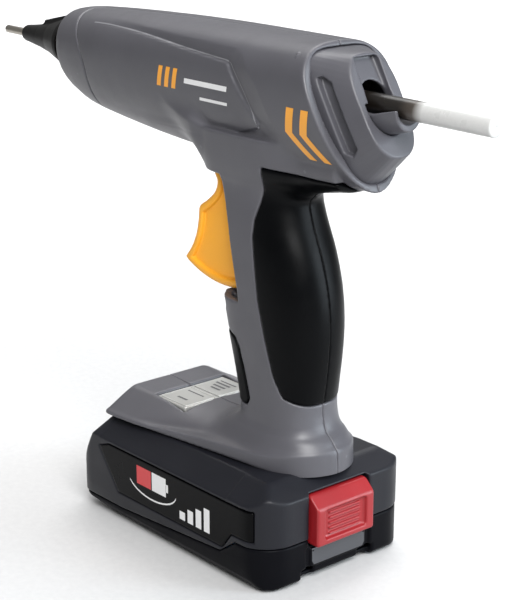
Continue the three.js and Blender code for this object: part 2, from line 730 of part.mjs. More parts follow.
function batteryUpper() {
  const inside = batteryBlock(CASE_WALL).intersect(box(-FAR, FAR, -FAR, FAR, -10, TRENCH_FLOOR - CASE_WALL));
  const shell = cut(batteryBlock(0), inside, belowSeam(GAP));
  const latchWalls = latchRoom(2.4).intersect(batteryBlock(0.5));
  const hookRoom = box(HOOK.x0 - GAP, HOOK.x1 + GAP, -HOOK.half - GAP, HOOK.half + GAP, 20, 60);
  return cut(
    shell.add(cut(latchWalls, belowSeam(GAP))),
    trench(), latchRoom(0.5), hookRoom, labelRoom(-1), labelRoom(1),
  );
}

function batteryLower() {
  const shell = cut(batteryBlock(0), batteryBlock(CASE_WALL));
  const posts = join(...BATTERY_SCREWS.map(([x, y]) => rod('z', 3.6, 9, x, y, 5, 16)));
  const tub = shell.add(posts.intersect(batteryBlock(0))).intersect(belowSeam(0));
  const bores = BATTERY_SCREWS.map(([x, y]) => rod('z', 1.6, 30, x, y, 3, 12));
  const heads = BATTERY_SCREWS.map(([x, y, seat]) => rod('z', 3, 6, x, y, seat - 2.8, 16));
  return cut(tub, ...bores, ...heads, latchRoom(3));
}

function batteryLabel(side) {
  return cut(batteryBlock(0), batteryBlock(LABEL_DEPTH)).intersect(labelRegion(side, 0));
}

function batteryScrew(x, y, seat) {
  return rod('z', 2.6, 1.2, x, y, seat - 0.7, 16).add(rod('z', 1.3, 7, x, y, seat + 3.3, 12));
}

function cell(index) {
  const x = CELL_FIRST_X + CELL_PITCH * index;
  const end = (index % 2 ? 1 : -1) * (CELL_LENGTH / 2 + 0.5);
  return rod('y', CELL_R, CELL_LENGTH, x, 0, CELL_Z, 24).add(rod('y', 2.6, 1.4, x, end, CELL_Z, 12));
}

function cellHolder() {
  return cut(box(-45, 45, -28, 28, 22.8, 24.8), box(-30, 30, -12, 12, 20, 30));
}

function batteryBoard() {
  return box(-28, 40, -22, 22, 26.4, 28);
}

function contact(y) {
  return box(14, 25, y - 0.5, y + 0.5, TRENCH_FLOOR + 0.2, TRENCH_FLOOR + 7);
}

function latchButton() {
  const body = box(57, 65.6, -LATCH.half, LATCH.half, LATCH.low, LATCH.high);
  const bevel = prism([[60.6, 35.4], [66, 30], [70, 30], [70, 42], [60.6, 42]], -FAR, FAR);
  const recess = box(63.6, 70, -10.4, 10.4, 17.4, 29);
  const ribs = [0, 1, 2, 3, 4].map((i) => box(63.4, 64.8, -8.6, 8.6, 18.5 + 2.1 * i, 19.6 + 2.1 * i));
  return cut(body, bevel, recess).add(join(...ribs));
}

// Hook behind the button; it drops when the button is pressed. Its toe slopes to the front.
function latchHook() {
  const plate = box(HOOK.x0, HOOK.x1, -HOOK.half, HOOK.half, 26, BATTERY_TOP - 0.2);
  const toe = prism([[46, 39.6], [48.4, 42], [46, 42]], -FAR, FAR);
  return cut(plate, toe);
}

// ---------- assembly ----------
// colour, roughness, metalness
const FINISH = {
  housing: [0x66666c, 0.5, 0],
  frame: [0x7c7c82, 0.48, 0],
  rubber: [0x121317, 0.6, 0],
  sleeve: [0x16130f, 0.5, 0],
  steel: [0x8d8477, 0.35, 1],
  aluminium: [0xb4b4b0, 0.4, 1],
  ceramic: [0xd9d2c4, 0.7, 0],
  silicone: [0xa8442f, 0.6, 0],
  orange: [0xeba53c, 0.45, 0],
  nylon: [0xd8d2c0, 0.5, 0],
  glue: [0xf0f0ee, 0.35, 0],
  silver: [0xb8bab8, 0.4, 0],
  board: [0x1f5a35, 0.5, 0],
  brass: [0xc09a4a, 0.35, 1],
  lead: [0xb03028, 0.5, 0],
  battery: [0x24242a, 0.5, 0],
  gloss: [0x0c0c0f, 0.15, 0],
  red: [0xc8343a, 0.45, 0],
  cell: [0x3f6f9c, 0.4, 0],
};

const group = new THREE.Group();

function add(name, finish, solid) {
  const [color, roughness, metalness] = FINISH[finish];
  const material = new THREE.MeshStandardMaterial({ color, roughness, metalness });
  const mesh = new THREE.Mesh(toGeometry(solid), material);
  mesh.name = name;
  group.add(mesh);
}

add('housing_left', 'housing', housingHalf(-1));
add('housing_right', 'housing', housingHalf(1));
SCREWS.forEach(([x, z], i) => add(`housing_screw_${i + 1}`, 'steel', screw(x, z)));
add('grip_left', 'rubber', gripHalf(-1));
add('grip_right', 'rubber', gripHalf(1));
add('grip_front', 'rubber', frontGrip());
add('nose_collar', 'housing', noseCollar());
add('nozzle_sleeve', 'sleeve', nozzleSleeve());
add('nozzle', 'steel', nozzle());
add('melt_chamber', 'aluminium', meltChamber());
add('heater_element', 'ceramic', heaterElement());
add('thermal_sensor', 'ceramic', thermalSensor());
add('chamber_ring_front', 'nylon', chamberRing(-91));
add('chamber_ring_rear', 'nylon', chamberRing(-48));
add('inlet_sleeve', 'silicone', inletSleeve());
add('rear_cover', 'frame', rearCover());
add('stick_guide', 'housing', stickGuide());
add('trigger', 'orange', trigger());
add('trigger_pin', 'steel', triggerPin());
add('trigger_spring', 'steel', coil(3.6, 0.5, 9, 0.4, 33.8, 0, 124));
add('drive_pin', 'steel', drivePin());
add('feed_carriage', 'nylon', carriage());
add('grip_jaw', 'steel', gripJaw());
add('glue_stick', 'glue', glueStick());
add('key_frame', 'silver', keyFrame());
KEY_ROWS.forEach((row, i) => add(`key_${i + 1}`, 'silver', key(row)));
add('control_board', 'board', controlBoard());
add('contact_block', 'gloss', contactBlock());
add('heater_lead_1', 'lead', heaterLead(-1));
add('heater_lead_2', 'lead', heaterLead(1));
add('battery_upper', 'battery', batteryUpper());
add('battery_lower', 'battery', batteryLower());
add('battery_label_left', 'gloss', batteryLabel(-1));
add('battery_label_right', 'gloss', batteryLabel(1));
BATTERY_SCREWS.forEach((place, i) => add(`battery_screw_${i + 1}`, 'steel', batteryScrew(...place)));
for (let i = 0; i < CELL_COUNT; i++) add(`cell_${i + 1}`, 'cell', cell(i));
add('cell_holder', 'nylon', cellHolder());
add('battery_board', 'board', batteryBoard());
CONTACT_Y.forEach((y, i) => add(`contact_${i + 1}`, 'brass', contact(y)));
add('latch_button', 'red', latchButton());
add('latch_spring', 'steel', coil(3, 0.4, 3, 52.2, 56.8, 0, 22));
add('latch_hook', 'gloss', latchHook());

export default group;
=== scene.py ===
"""Looks of the cordless glue gun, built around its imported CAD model.

Nearly every visible piece is a smooth surface grown from a field: a function that is negative
inside the piece and positive outside. The nozzle and the stick are turned, and the prints are
thin sheets laid on a piece. Fields take millimetres in the frame's axes, and meshes are metres.
"""

import math

import bmesh
import bpy
import numpy as np
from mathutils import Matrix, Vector
from mathutils.bvhtree import BVHTree


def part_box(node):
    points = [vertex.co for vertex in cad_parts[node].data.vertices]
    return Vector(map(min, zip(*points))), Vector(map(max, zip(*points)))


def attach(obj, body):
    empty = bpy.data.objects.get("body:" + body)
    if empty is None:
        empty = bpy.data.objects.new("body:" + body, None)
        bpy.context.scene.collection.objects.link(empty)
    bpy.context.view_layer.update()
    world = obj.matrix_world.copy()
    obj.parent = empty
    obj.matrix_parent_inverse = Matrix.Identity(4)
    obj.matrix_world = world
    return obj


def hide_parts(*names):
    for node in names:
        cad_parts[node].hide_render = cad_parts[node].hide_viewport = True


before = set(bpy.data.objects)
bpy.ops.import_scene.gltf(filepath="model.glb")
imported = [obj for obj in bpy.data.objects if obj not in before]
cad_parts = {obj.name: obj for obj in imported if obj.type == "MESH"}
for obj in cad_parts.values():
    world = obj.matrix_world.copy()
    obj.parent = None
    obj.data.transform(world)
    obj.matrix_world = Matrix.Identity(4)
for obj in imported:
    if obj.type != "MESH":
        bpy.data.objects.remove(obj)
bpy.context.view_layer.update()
MM = 0.001
FINE = 1.0        # coarser grids while trying things


def corner(node, which, axis):
    """One face of a CAD node's box in millimetres: which is 0 for low, 1 for high."""
    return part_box(node)[which][axis] / MM


# ---------- driving dimensions, from the frame where a node shows them ----------
X, Y, Z = 0, 1, 2
AXIS_Z = (corner("glue_stick", 0, Z) + corner("glue_stick", 1, Z)) / 2
STICK_R = (corner("glue_stick", 1, Z) - corner("glue_stick", 0, Z)) / 2
STICK_FRONT = corner("glue_stick", 0, X)
STICK_BACK = corner("glue_stick", 1, X)
NOZZLE_TIP = corner("nozzle", 0, X)
NOSE_X = corner("nose_collar", 0, X)
FOOT_BASE = 41.7                 # sole of the foot, a gap above the battery
BATTERY_TOP = corner("battery_upper", 1, Z)
BATTERY_FRONT = corner("battery_upper", 0, X)
BATTERY_BACK = corner("battery_upper", 1, X)
BATTERY_HALF = corner("battery_upper", 1, Y)
TRIGGER_HALF = corner("trigger", 1, Y)
GAP = 0.3                        # joint between two outside pieces
WALL = 2.6
SKIN = 2.0                       # thickness of the soft pieces
REAR_TOP = (58.5, 200.0)         # the slanted cut that ends the housing, in side view
REAR_BOTTOM = (79.0, 151.6)
PIVOT = (6.0, 151.0)             # trigger pin
TRIGGER_REACH = 48.2             # radius of the trigger's lower edge about the pin

# ---------- fields ----------


def smooth_min(a, b, k):
    """Union of two fields with a fillet about k wide."""
    h = np.clip(0.5 + 0.5 * (b - a) / k, 0, 1)
    return b * (1 - h) + a * h - k * h * (1 - h)


def smooth_max(a, b, k):
    """Overlap of two fields with an edge rounding about k wide. With -b it cuts b away."""
    return -smooth_min(-a, -b, k)


def step01(value):
    """Soft step from 0 to 1."""
    t = np.clip(value, 0, 1)
    return t * t * (3 - 2 * t)


def unit(field, step):
    """Rescales a field so that it grows by about one per millimetre."""
    gx, gy, gz = np.gradient(field, step)
    slope = np.sqrt(gx * gx + gy * gy + gz * gz)
    return field / np.maximum(slope, 0.15)


def polygon(a, b, points):
    """Signed distance to a closed outline in the plane of coordinates a and b.

    A corner may itself be a pair of arrays, for an outline that changes along a piece.
    """
    a, b = np.broadcast_arrays(a, b)
    nearest = np.full(a.shape, 1e9, np.float32)
    inside = np.zeros(a.shape, bool)
    for (a0, b0), (a1, b1) in zip(points, points[1:] + points[:1]):
        da, db = a1 - a0, b1 - b0
        t = np.clip(((a - a0) * da + (b - b0) * db) / (da * da + db * db + 1e-12), 0, 1)
        nearest = np.minimum(nearest, (a - a0 - t * da) ** 2 + (b - b0 - t * db) ** 2)
        crosses = (b0 > b) != (b1 > b)
        inside ^= crosses & (a < a0 + (b - b0) * da / np.where(db == 0, 1e-12, db))
    distance = np.sqrt(nearest)
    return np.where(inside, -distance, distance).astype(np.float32)


def rounded_box(x, y, z, low, high, radius):
    parts = [np.abs(v - (p + q) / 2) - (q - p) / 2 + radius
             for v, p, q in zip((x, y, z), low, high)]
    outside = np.sqrt(sum(np.maximum(p, 0) ** 2 for p in parts))
    inside = np.minimum(np.maximum(np.maximum(parts[0], parts[1]), parts[2]), 0)
    return outside + inside - radius


def curve(points, samples):
    """Smooth open line through the given points, as a list."""
    points = [np.array(p, float) for p in points]
    ends = [2 * points[0] - points[1]] + points + [2 * points[-1] - points[-2]]
    line = []
    for p0, p1, p2, p3 in zip(ends, ends[1:], ends[2:], ends[3:]):
        for i in range(samples):
            t = i / samples
            line.append(tuple(0.5 * (2 * p1 + (p2 - p0) * t + (2 * p0 - 5 * p1 + 4 * p2 - p3) * t * t
                                     + (3 * p1 - p0 - 3 * p2 + p3) * t ** 3)))
    return line + [tuple(points[-1])]


def table(position, pairs):
    """Smooth reading of [position, value] pairs."""
    line = np.array(curve(pairs, 8))
    return np.interp(position, line[:, 0], line[:, 1]).astype(np.float32)


# ---------- meshes ----------


def surface_net(field, low, step):
    """Quads through the cells where the field changes sign."""
    inside = field < 0
    n = np.array(field.shape)
    counts = sum(inside[i:n[0] - 1 + i, j:n[1] - 1 + j, k:n[2] - 1 + k].astype(np.int8)
                 for i in (0, 1) for j in (0, 1) for k in (0, 1))
    cells = np.argwhere((counts > 0) & (counts < 8))
    number = np.full(counts.shape, -1, np.int32)
    number[tuple(cells.T)] = np.arange(len(cells))
    total = np.zeros((len(cells), 3))
    hits = np.zeros(len(cells))
    for axis in range(3):
        others = [a for a in range(3) if a != axis]
        for p in (0, 1):
            for q in (0, 1):
                start = np.zeros(3, int)
                start[others[0]], start[others[1]] = p, q
                end = start.copy()
                end[axis] = 1
                f0 = field[tuple((cells + start).T)]
                f1 = field[tuple((cells + end).T)]
                cross = (f0 < 0) != (f1 < 0)
                t = np.where(cross, f0 / np.where(f0 == f1, 1, f0 - f1), 0)
                total += cross[:, None] * (start + t[:, None] * (end - start))
                hits += cross
    points = (cells + total / hits[:, None]) * step + np.array(low)
    quads = []
    for axis in range(3):
        u, v = [a for a in range(3) if a != axis]
        head = [slice(0, n[a] - 1) if a == axis else slice(1, n[a] - 1) for a in range(3)]
        tail = [slice(1, n[a]) if a == axis else slice(1, n[a] - 1) for a in range(3)]
        flips = inside[tuple(head)] != inside[tuple(tail)]
        at = np.argwhere(flips) + np.array([0 if a == axis else 1 for a in range(3)])
        outward = inside[tuple(at.T)]
        ring = []
        for du, dv in ((1, 1), (0, 1), (0, 0), (1, 0)):
            c = at.copy()
            c[:, u] -= du
            c[:, v] -= dv
            ring.append(number[tuple(c.T)])
        faces = np.stack(ring, 1)
        turn = outward if axis != 1 else ~outward
        faces[~turn] = faces[~turn][:, ::-1]
        quads.append(faces)
    return points, np.concatenate(quads)


def relax(points, faces):
    """Evens out the small steps of the grid: one shrinking pass and one that swells again."""
    edges = np.concatenate([faces[:, [i, (i + 1) % 4]] for i in range(4)])
    degree = np.bincount(edges.ravel(), minlength=len(points)).astype(float)
    for weight in (0.5, -0.52):
        mean = np.zeros_like(points)
        for axis in range(3):
            mean[:, axis] = (np.bincount(edges[:, 0], points[edges[:, 1], axis], len(points))
                             + np.bincount(edges[:, 1], points[edges[:, 0], axis], len(points)))
        points = points + weight * (mean / degree[:, None] - points)
    return points


PIECES = {}


def placed(name, data):
    """New object in the scene."""
    obj = bpy.data.objects.new(name, data)
    bpy.context.scene.collection.objects.link(obj)
    return obj


def mesh_of(name, bm):
    mesh = bpy.data.meshes.new(name)
    bm.to_mesh(mesh)
    bm.free()
    return mesh


def finish_piece(obj, body, replaces, material):
    """Gives a piece its finish, its body and the CAD nodes that it stands for."""
    obj.data.materials.append(material)
    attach(obj, body)
    if replaces:
        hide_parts(*replaces)
    PIECES[obj.name] = obj


def grow(name, make_field, low, high, step, body, replaces, material):
    """Makes a piece from its field, sampled on a grid between two corners."""
    step *= FINE
    low = np.array(low, float) - 2 * step
    axes = [np.arange(a, b + 3 * step, step, dtype=np.float32) for a, b in zip(low, high)]
    x, y, z = axes[0][:, None, None], axes[1][None, :, None], axes[2][None, None, :]
    field = np.broadcast_to(make_field(x, y, z, step), [len(a) for a in axes]).astype(np.float32)
    points, faces = surface_net(field, low, step)
    points = relax(points, faces)
    mesh = bpy.data.meshes.new(name)
    mesh.vertices.add(len(points))
    mesh.vertices.foreach_set("co", (points * MM).ravel().astype(np.float32))
    mesh.loops.add(len(faces) * 4)
    mesh.loops.foreach_set("vertex_index", faces.ravel().astype(np.int32))
    mesh.polygons.add(len(faces))
    mesh.polygons.foreach_set("loop_start", np.arange(0, len(faces) * 4, 4, dtype=np.int32))
    mesh.update(calc_edges=True)
    mesh.polygons.foreach_set("use_smooth", np.ones(len(faces), bool))
    mesh.validate()
    finish_piece(placed(name, mesh), body, replaces, material)


# ---------- materials ----------


def tint(color, factor):
    """A colour made lighter or darker, with its alpha."""
    return tuple(min(1, c * factor) for c in color[:3]) + (1,)


def plastic(name, color, rough=0.5, grain=0.35, grain_size=0.35, mottle=0.06, edge=1.25,
            specular=0.5, coat=0.0, metallic=0.0):
    """Moulded finish: eroded grain, slow colour drift, convex edges lighter, uneven gloss."""
    made = bpy.data.materials.new(name)
    made.use_nodes = True
    nodes, links = made.node_tree.nodes, made.node_tree.links
    shader = nodes["Principled BSDF"]
    shader.inputs["Specular IOR Level"].default_value = specular
    shader.inputs["Metallic"].default_value = metallic
    shader.inputs["Coat Weight"].default_value = coat
    shader.inputs["Coat Roughness"].default_value = 0.12
    place = nodes.new("ShaderNodeTexCoord")

    def noise(scale, detail, rough_share=0.55):
        made_noise = nodes.new("ShaderNodeTexNoise")
        made_noise.inputs["Scale"].default_value = scale
        made_noise.inputs["Detail"].default_value = detail
        made_noise.inputs["Roughness"].default_value = rough_share
        links.new(place.outputs["Object"], made_noise.inputs["Vector"])
        return made_noise.outputs["Fac"]

    def spread(source, low, high, from_low=0.3, from_high=0.7):
        node = nodes.new("ShaderNodeMapRange")
        node.inputs["From Min"].default_value = from_low
        node.inputs["From Max"].default_value = from_high
        node.inputs["To Min"].default_value = low
        node.inputs["To Max"].default_value = high
        links.new(source, node.inputs["Value"])
        return node.outputs["Result"]

    drift = noise(38, 3)
    speck = noise(1.0 / (grain_size * MM), 2, 0.6)
    ramp = nodes.new("ShaderNodeValToRGB")
    ramp.color_ramp.elements[0].position = 0.3
    ramp.color_ramp.elements[1].position = 0.7
    ramp.color_ramp.elements[0].color = tint(color, 1 - mottle)
    ramp.color_ramp.elements[1].color = tint(color, 1 + mottle)
    links.new(drift, ramp.inputs["Fac"])
    grained = nodes.new("ShaderNodeMix")
    grained.data_type = "RGBA"
    grained.blend_type = "MULTIPLY"
    grained.inputs["Factor"].default_value = 0.5
    shade = nodes.new("ShaderNodeValToRGB")
    shade.color_ramp.elements[0].position = 0.25
    shade.color_ramp.elements[0].color = (0.86, 0.86, 0.87, 1)
    shade.color_ramp.elements[1].position = 0.75
    shade.color_ramp.elements[1].color = (1, 1, 1, 1)
    links.new(speck, shade.inputs["Fac"])
    links.new(ramp.outputs["Color"], grained.inputs[6])
    links.new(shade.outputs["Color"], grained.inputs[7])
    geometry = nodes.new("ShaderNodeNewGeometry")
    lighter_edges = nodes.new("ShaderNodeMix")
    lighter_edges.data_type = "RGBA"
    lighter_edges.inputs[7].default_value = tint(color, edge)
    links.new(spread(geometry.outputs["Pointiness"], 0, 0.7, 0.52, 0.62), lighter_edges.inputs["Factor"])
    links.new(grained.outputs[2], lighter_edges.inputs[6])
    links.new(lighter_edges.outputs[2], shader.inputs["Base Color"])
    links.new(spread(noise(90, 4), rough - 0.05, rough + 0.07), shader.inputs["Roughness"])
    bump = nodes.new("ShaderNodeBump")
    bump.inputs["Strength"].default_value = grain
    bump.inputs["Distance"].default_value = 0.04 * MM
    links.new(speck, bump.inputs["Height"])
    links.new(bump.outputs["Normal"], shader.inputs["Normal"])
    return made


RING_SCALE = 900


def turned_metal(name, color, rough):
    """Lathe-turned metal: fine rings round the stick axis and a slight tarnish."""
    made = plastic(name, color, rough, grain=0.1, grain_size=0.8, mottle=0.12, metallic=1.0)
    nodes, links = made.node_tree.nodes, made.node_tree.links
    place = nodes.new("ShaderNodeTexCoord")
    wave = nodes.new("ShaderNodeTexWave")
    wave.bands_direction = "X"
    wave.inputs["Scale"].default_value = RING_SCALE
    wave.inputs["Distortion"].default_value = 1.5
    links.new(place.outputs["Object"], wave.inputs["Vector"])
    bump = nodes.new("ShaderNodeBump")
    bump.inputs["Strength"].default_value = 0.25
    bump.inputs["Distance"].default_value = 0.03 * MM
    links.new(wave.outputs["Fac"], bump.inputs["Height"])
    links.new(bump.outputs["Normal"], nodes["Principled BSDF"].inputs["Normal"])
    return made


HOUSING = plastic("housing_grey", (0.078, 0.077, 0.088), 0.4, grain=0.55, grain_size=0.3, mottle=0.07,
                  edge=1.7)
COVER = plastic("cover_grey", (0.072, 0.071, 0.082), 0.42, grain=0.7, grain_size=0.35, mottle=0.07, edge=1.7)
RUBBER = plastic("grip_rubber", (0.0008, 0.001, 0.0014), 0.36, grain=0.3, grain_size=0.25, specular=0.09)
SLEEVE = plastic("sleeve_black", (0.004, 0.0038, 0.0036), 0.45, grain=0.4, specular=0.2)
STEEL = turned_metal("nozzle_steel", (0.4, 0.37, 0.32), 0.3)
ORANGE = plastic("trigger_orange", (0.95, 0.425, 0.03), 0.4, grain=0.3, mottle=0.03, edge=1.05, specular=0.3)
CASE = plastic("battery_black", (0.011, 0.0115, 0.0155), 0.38, grain=0.6, grain_size=0.35, edge=2.2,
               specular=0.24)
# Darker, duller copy of the case black for the lower half: painted shade.
CASE_PAINTED_SHADE = plastic("battery_black_painted_shade", (0.003, 0.0031, 0.0045), 0.4, grain=0.6, grain_size=0.35, edge=2.2,
                   specular=0.06)
GLOSS = plastic("label_black", (0.001, 0.001, 0.0013), 0.22, grain=0.05, mottle=0.1, specular=0.09)
RED = plastic("button_red", (0.28, 0.011, 0.015), 0.36, grain=0.25, mottle=0.04, edge=1.25)
SILVER = plastic("key_silver", (0.46, 0.46, 0.44), 0.34, grain=0.2, mottle=0.05, metallic=0.4)
DARK = plastic("dark_plastic", (0.015, 0.015, 0.017), 0.5)
NYLON = plastic("nylon", (0.66, 0.61, 0.5), 0.45, mottle=0.05)
CERAMIC = plastic("ceramic", (0.7, 0.64, 0.54), 0.7, grain=0.6)
SILICONE = plastic("silicone_red", (0.4, 0.07, 0.03), 0.55)
ALUMINIUM = plastic("cast_aluminium", (0.62, 0.62, 0.6), 0.4, grain=0.5, grain_size=0.9, metallic=1.0)
SCREW = plastic("screw_steel", (0.42, 0.42, 0.42), 0.32, grain=0.2, metallic=1.0)
BRASS = plastic("contact_brass", (0.6, 0.42, 0.15), 0.3, grain=0.2, metallic=1.0)
BOARD = plastic("board_green", (0.02, 0.13, 0.045), 0.35, mottle=0.25, grain_size=1.6)
CELL = plastic("cell_blue", (0.05, 0.2, 0.42), 0.3, coat=0.3)
PRINT_ORANGE = plastic("print_orange", (0.87, 0.37, 0.03), 0.4, grain=0.2, mottle=0.03, edge=1.0)
# Light grey for the thin bead on the name panel's edge: a painted highlight.
PAINTED_HIGHLIGHT = plastic("painted_edge_highlight", (0.2, 0.2, 0.215), 0.4, grain=0.2, mottle=0.05, edge=1.0)
PRINT_WHITE = plastic("print_white", (0.78, 0.78, 0.78), 0.45, grain=0.2, mottle=0.03, edge=1.0)
PRINT_RED = plastic("print_red", (0.6, 0.035, 0.04), 0.35, grain=0.2, mottle=0.03, edge=1.0)
TAB_GREY = plastic("tab_grey", (0.055, 0.057, 0.064), 0.4, grain=0.4, mottle=0.08, edge=1.0)
PRINT_GREY = plastic("print_grey", (0.09, 0.09, 0.095), 0.5, grain=0.2, mottle=0.05, edge=1.0)


def glue_material():
    """Milky wax with light running inside it, darkened where it sits in the mouth of the gun: painted shade.
    """
    made = plastic("glue_milky", (0.5, 0.5, 0.49), 0.3, grain=0.1, grain_size=0.9, mottle=0.02, edge=1.0)
    nodes, links = made.node_tree.nodes, made.node_tree.links
    shader = nodes["Principled BSDF"]
    shader.inputs["Subsurface Weight"].default_value = 0.15
    shader.inputs["Subsurface Radius"].default_value = (0.004, 0.004, 0.004)
    shader.inputs["Subsurface Scale"].default_value = 1.0
    place = nodes.new("ShaderNodeTexCoord")
    split = nodes.new("ShaderNodeSeparateXYZ")
    links.new(place.outputs["Object"], split.inputs["Vector"])
    # Painted shade: the stick turns dark brown towards its front, inside the gun's mouth.
    reach = nodes.new("ShaderNodeMapRange")
    reach.inputs["From Min"].default_value = 90 * MM
    reach.inputs["From Max"].default_value = 101 * MM
    links.new(split.outputs["X"], reach.inputs["Value"])
    painted_mouth_shade = nodes.new("ShaderNodeValToRGB")
    painted_mouth_shade.color_ramp.elements[0].color = (0.02, 0.016, 0.013, 1)
    painted_mouth_shade.color_ramp.elements[1].color = (1, 1, 1, 1)
    middle = painted_mouth_shade.color_ramp.elements.new(0.6)
    middle.color = (0.11, 0.09, 0.075, 1)
    links.new(reach.outputs["Result"], painted_mouth_shade.inputs["Fac"])
    blend = nodes.new("ShaderNodeMix")
    blend.data_type = "RGBA"
    blend.blend_type = "MULTIPLY"
    blend.inputs["Factor"].default_value = 1.0
    source = shader.inputs["Base Color"].links[0].from_socket
    links.new(source, blend.inputs[6])
    links.new(painted_mouth_shade.outputs["Color"], blend.inputs[7])
    links.new(blend.outputs[2], shader.inputs["Base Color"])
    return made


GLUE = glue_material()

# ---------- housing ----------
# Each list holds [x, value] pairs: top and bottom height, half width, and the height of that width.
BARREL_TOP = [(-108, 188), (-105, 191.8), (-101, 195.2), (-96, 197.8), (-90, 199.5), (-60, 201.1),
              (-14, 202.4), (30, 202.6), (90, 202.4)]
BARREL_LOW = [(-108, 178), (-105, 173.6), (-101, 169.4), (-96, 165.4), (-90, 162), (-78, 158.6),
              (-38, 154.4), (0, 152.2), (14, 151.8), (50, 151.6), (90, 151.4)]
BARREL_HALF = [(-108, 6), (-105, 8.6), (-101, 12), (-96, 15.2), (-90, 17.6), (-60, 20.6), (-14, 21.8),
               (90, 21)]
BARREL_WIDEST = [(-108, 183), (-105, 183), (-90, 184), (-38, 186), (90, 187)]


def barrel(x, y, z, step):
    """Barrel of rounded sections, squarer above its widest height than below it."""
    top, low = table(x, BARREL_TOP), table(x, BARREL_LOW)
    half, widest = table(x, BARREL_HALF), table(x, BARREL_WIDEST)
    up = z - widest
    across = np.abs(y) / half
    upper = (across ** 2.5 + (np.maximum(up, 0) / (top - widest)) ** 2.5) ** (1 / 2.5)
    lower = (across ** 1.85 + (np.maximum(-up, 0) / (widest - low)) ** 1.85) ** (1 / 1.85)
    return unit((np.where(up > 0, upper, lower) - 1) * half, step)


# Each list holds [z, value] pairs.
HANDLE_FRONT = [(40, 6), (50, 11), (54, 14.4), (58, 16), (70, 13.2), (93, 7.6), (120, 2), (143, -2.6),
                (149, -4.4), (158, -8), (172, -16)]
HANDLE_BACK = [(40, 58), (50, 56.4), (54, 53.6), (58, 52.2), (64, 51.8), (74, 53.2), (86, 54.6), (98, 54.8),
               (110, 53.2), (122, 49.6), (134, 44.6), (143, 42.6), (149, 46), (155, 54), (172, 60)]
HANDLE_HALF = [(40, 17), (50, 17.2), (54, 16), (58, 15.3), (70, 15), (98, 16.4), (122, 16.6), (143, 15.6),
               (149, 16.4), (155, 17.6), (172, 20)]
# Lower edge of the keel, as [x, z].
KEEL_LOW = [(36, 141), (44, 143.6), (47, 145.6), (54, 147.6), (64, 149.6), (74, 151.4)]
KEEL_END = 70.0


def keel(x, y, z, step):
    """Flare that carries the back of the handle out under the barrel."""
    low = table(x, KEEL_LOW)
    across = (np.abs(y) / 13.6) ** 2.3
    down = (np.maximum(159 - z, 0) / (159 - low)) ** 2.3
    form = unit(((across + down) ** (1 / 2.3) - 1) * 9, step)
    return smooth_max(smooth_max(smooth_max(form, x - KEEL_END, 1.5), 36 - x, 1), z - 160, 1)


def handle(x, y, z, step):
    """Handle of rounded sections, squarer at the front, with the keel behind it."""
    front, back, half = table(z, HANDLE_FRONT), table(z, HANDLE_BACK), table(z, HANDLE_HALF)
    along = (x - (front + back) / 2) / ((back - front) / 2)
    square = 2.5 + 1.3 * step01(-along * 1.6)
    ring = (np.abs(along) ** square + (np.abs(y) / half) ** square) ** (1 / square)
    stem = smooth_max(unit((ring - 1) * half, step), z - 166, 1)
    return smooth_min(stem, keel(x, y, z, step), 3.0)


# Plan of the foot's near half as [x, y]; the flat front ends where its flank starts.
FOOT_NOSE = [(-46.8, 0.4), (-46.7, 10), (-46.2, 20)]
FOOT_FLANK = [(-45.2, 29), (-43, 32.6), (-37.7, 32.8), (-23.6, 31.4), (-5.2, 28.8), (12.6, 26.3),
              (29.8, 23.8), (39.1, 21.6), (48.5, 16.4)]
FOOT_HEEL = [(54.5, 9.6), (57.6, 3), (58.3, 0.6)]
# [x, height above the sole] of the upright rim and of the dome's crown, and [x, half width] of the dome.
FOOT_RIM = [(-50, 1.0), (-24, 1.2), (0, 3.0), (18, 4.3), (60, 4.3)]
FOOT_CROWN = [(-44, 8.3), (-30, 8.4), (30, 8.3), (46, 7.4), (58, 5.4)]
FOOT_DOME = [(-44, 31), (-36, 30), (-26, 28), (-10, 26), (10, 22.6), (38, 19), (50, 14.4), (60, 8)]
FOOT_TOP = 50.2
FOOT_FRONT = -46


def foot(x, y, z, step):
    """Flat sole with an upright rim: a chamfered slab at the front, a low dome round the handle."""
    outline = curve(FOOT_NOSE + FOOT_FLANK + FOOT_HEEL, 5)
    plan = polygon(x, y, outline + [(a, -b) for a, b in reversed(outline)])
    up = z - FOOT_BASE
    upright = smooth_max(plan, up - table(x, FOOT_RIM), 0.6)
    dome = (np.abs(y / table(x, FOOT_DOME)) ** 2 + (np.maximum(up, 0) / table(x, FOOT_CROWN)) ** 2) ** 0.5
    dome = smooth_max(unit((dome - 1) * 8.0, step), plan + 0.4, 1.0)
    plate = smooth_max(z - FOOT_TOP + 0.03 * (x + 20) * (x < -20), plan, 0.6)
    flank = np.abs(y) - table(x, FOOT_FLANK)
    plate = smooth_max(plate, 0.49 * (flank + 0.3) + 0.872 * (up - 1.3), 0.9)
    plate = smooth_max(plate, 0.93 * (FOOT_FRONT - x) + 0.37 * (up - 2.0), 0.9)
    share = step01((-2 - x) / 24)
    body = dome * (1 - share) + plate * share
    return smooth_max(smooth_min(upright, body, 1.2), FOOT_BASE - z, 0.5)


def rear_plane(x, z):
    """Distance behind the slanted cut that ends the housing."""
    dx, dz = REAR_BOTTOM[0] - REAR_TOP[0], REAR_BOTTOM[1] - REAR_TOP[1]
    length = math.hypot(dx, dz)
    return ((x - REAR_TOP[0]) * -dz + (z - REAR_TOP[1]) * dx) / length


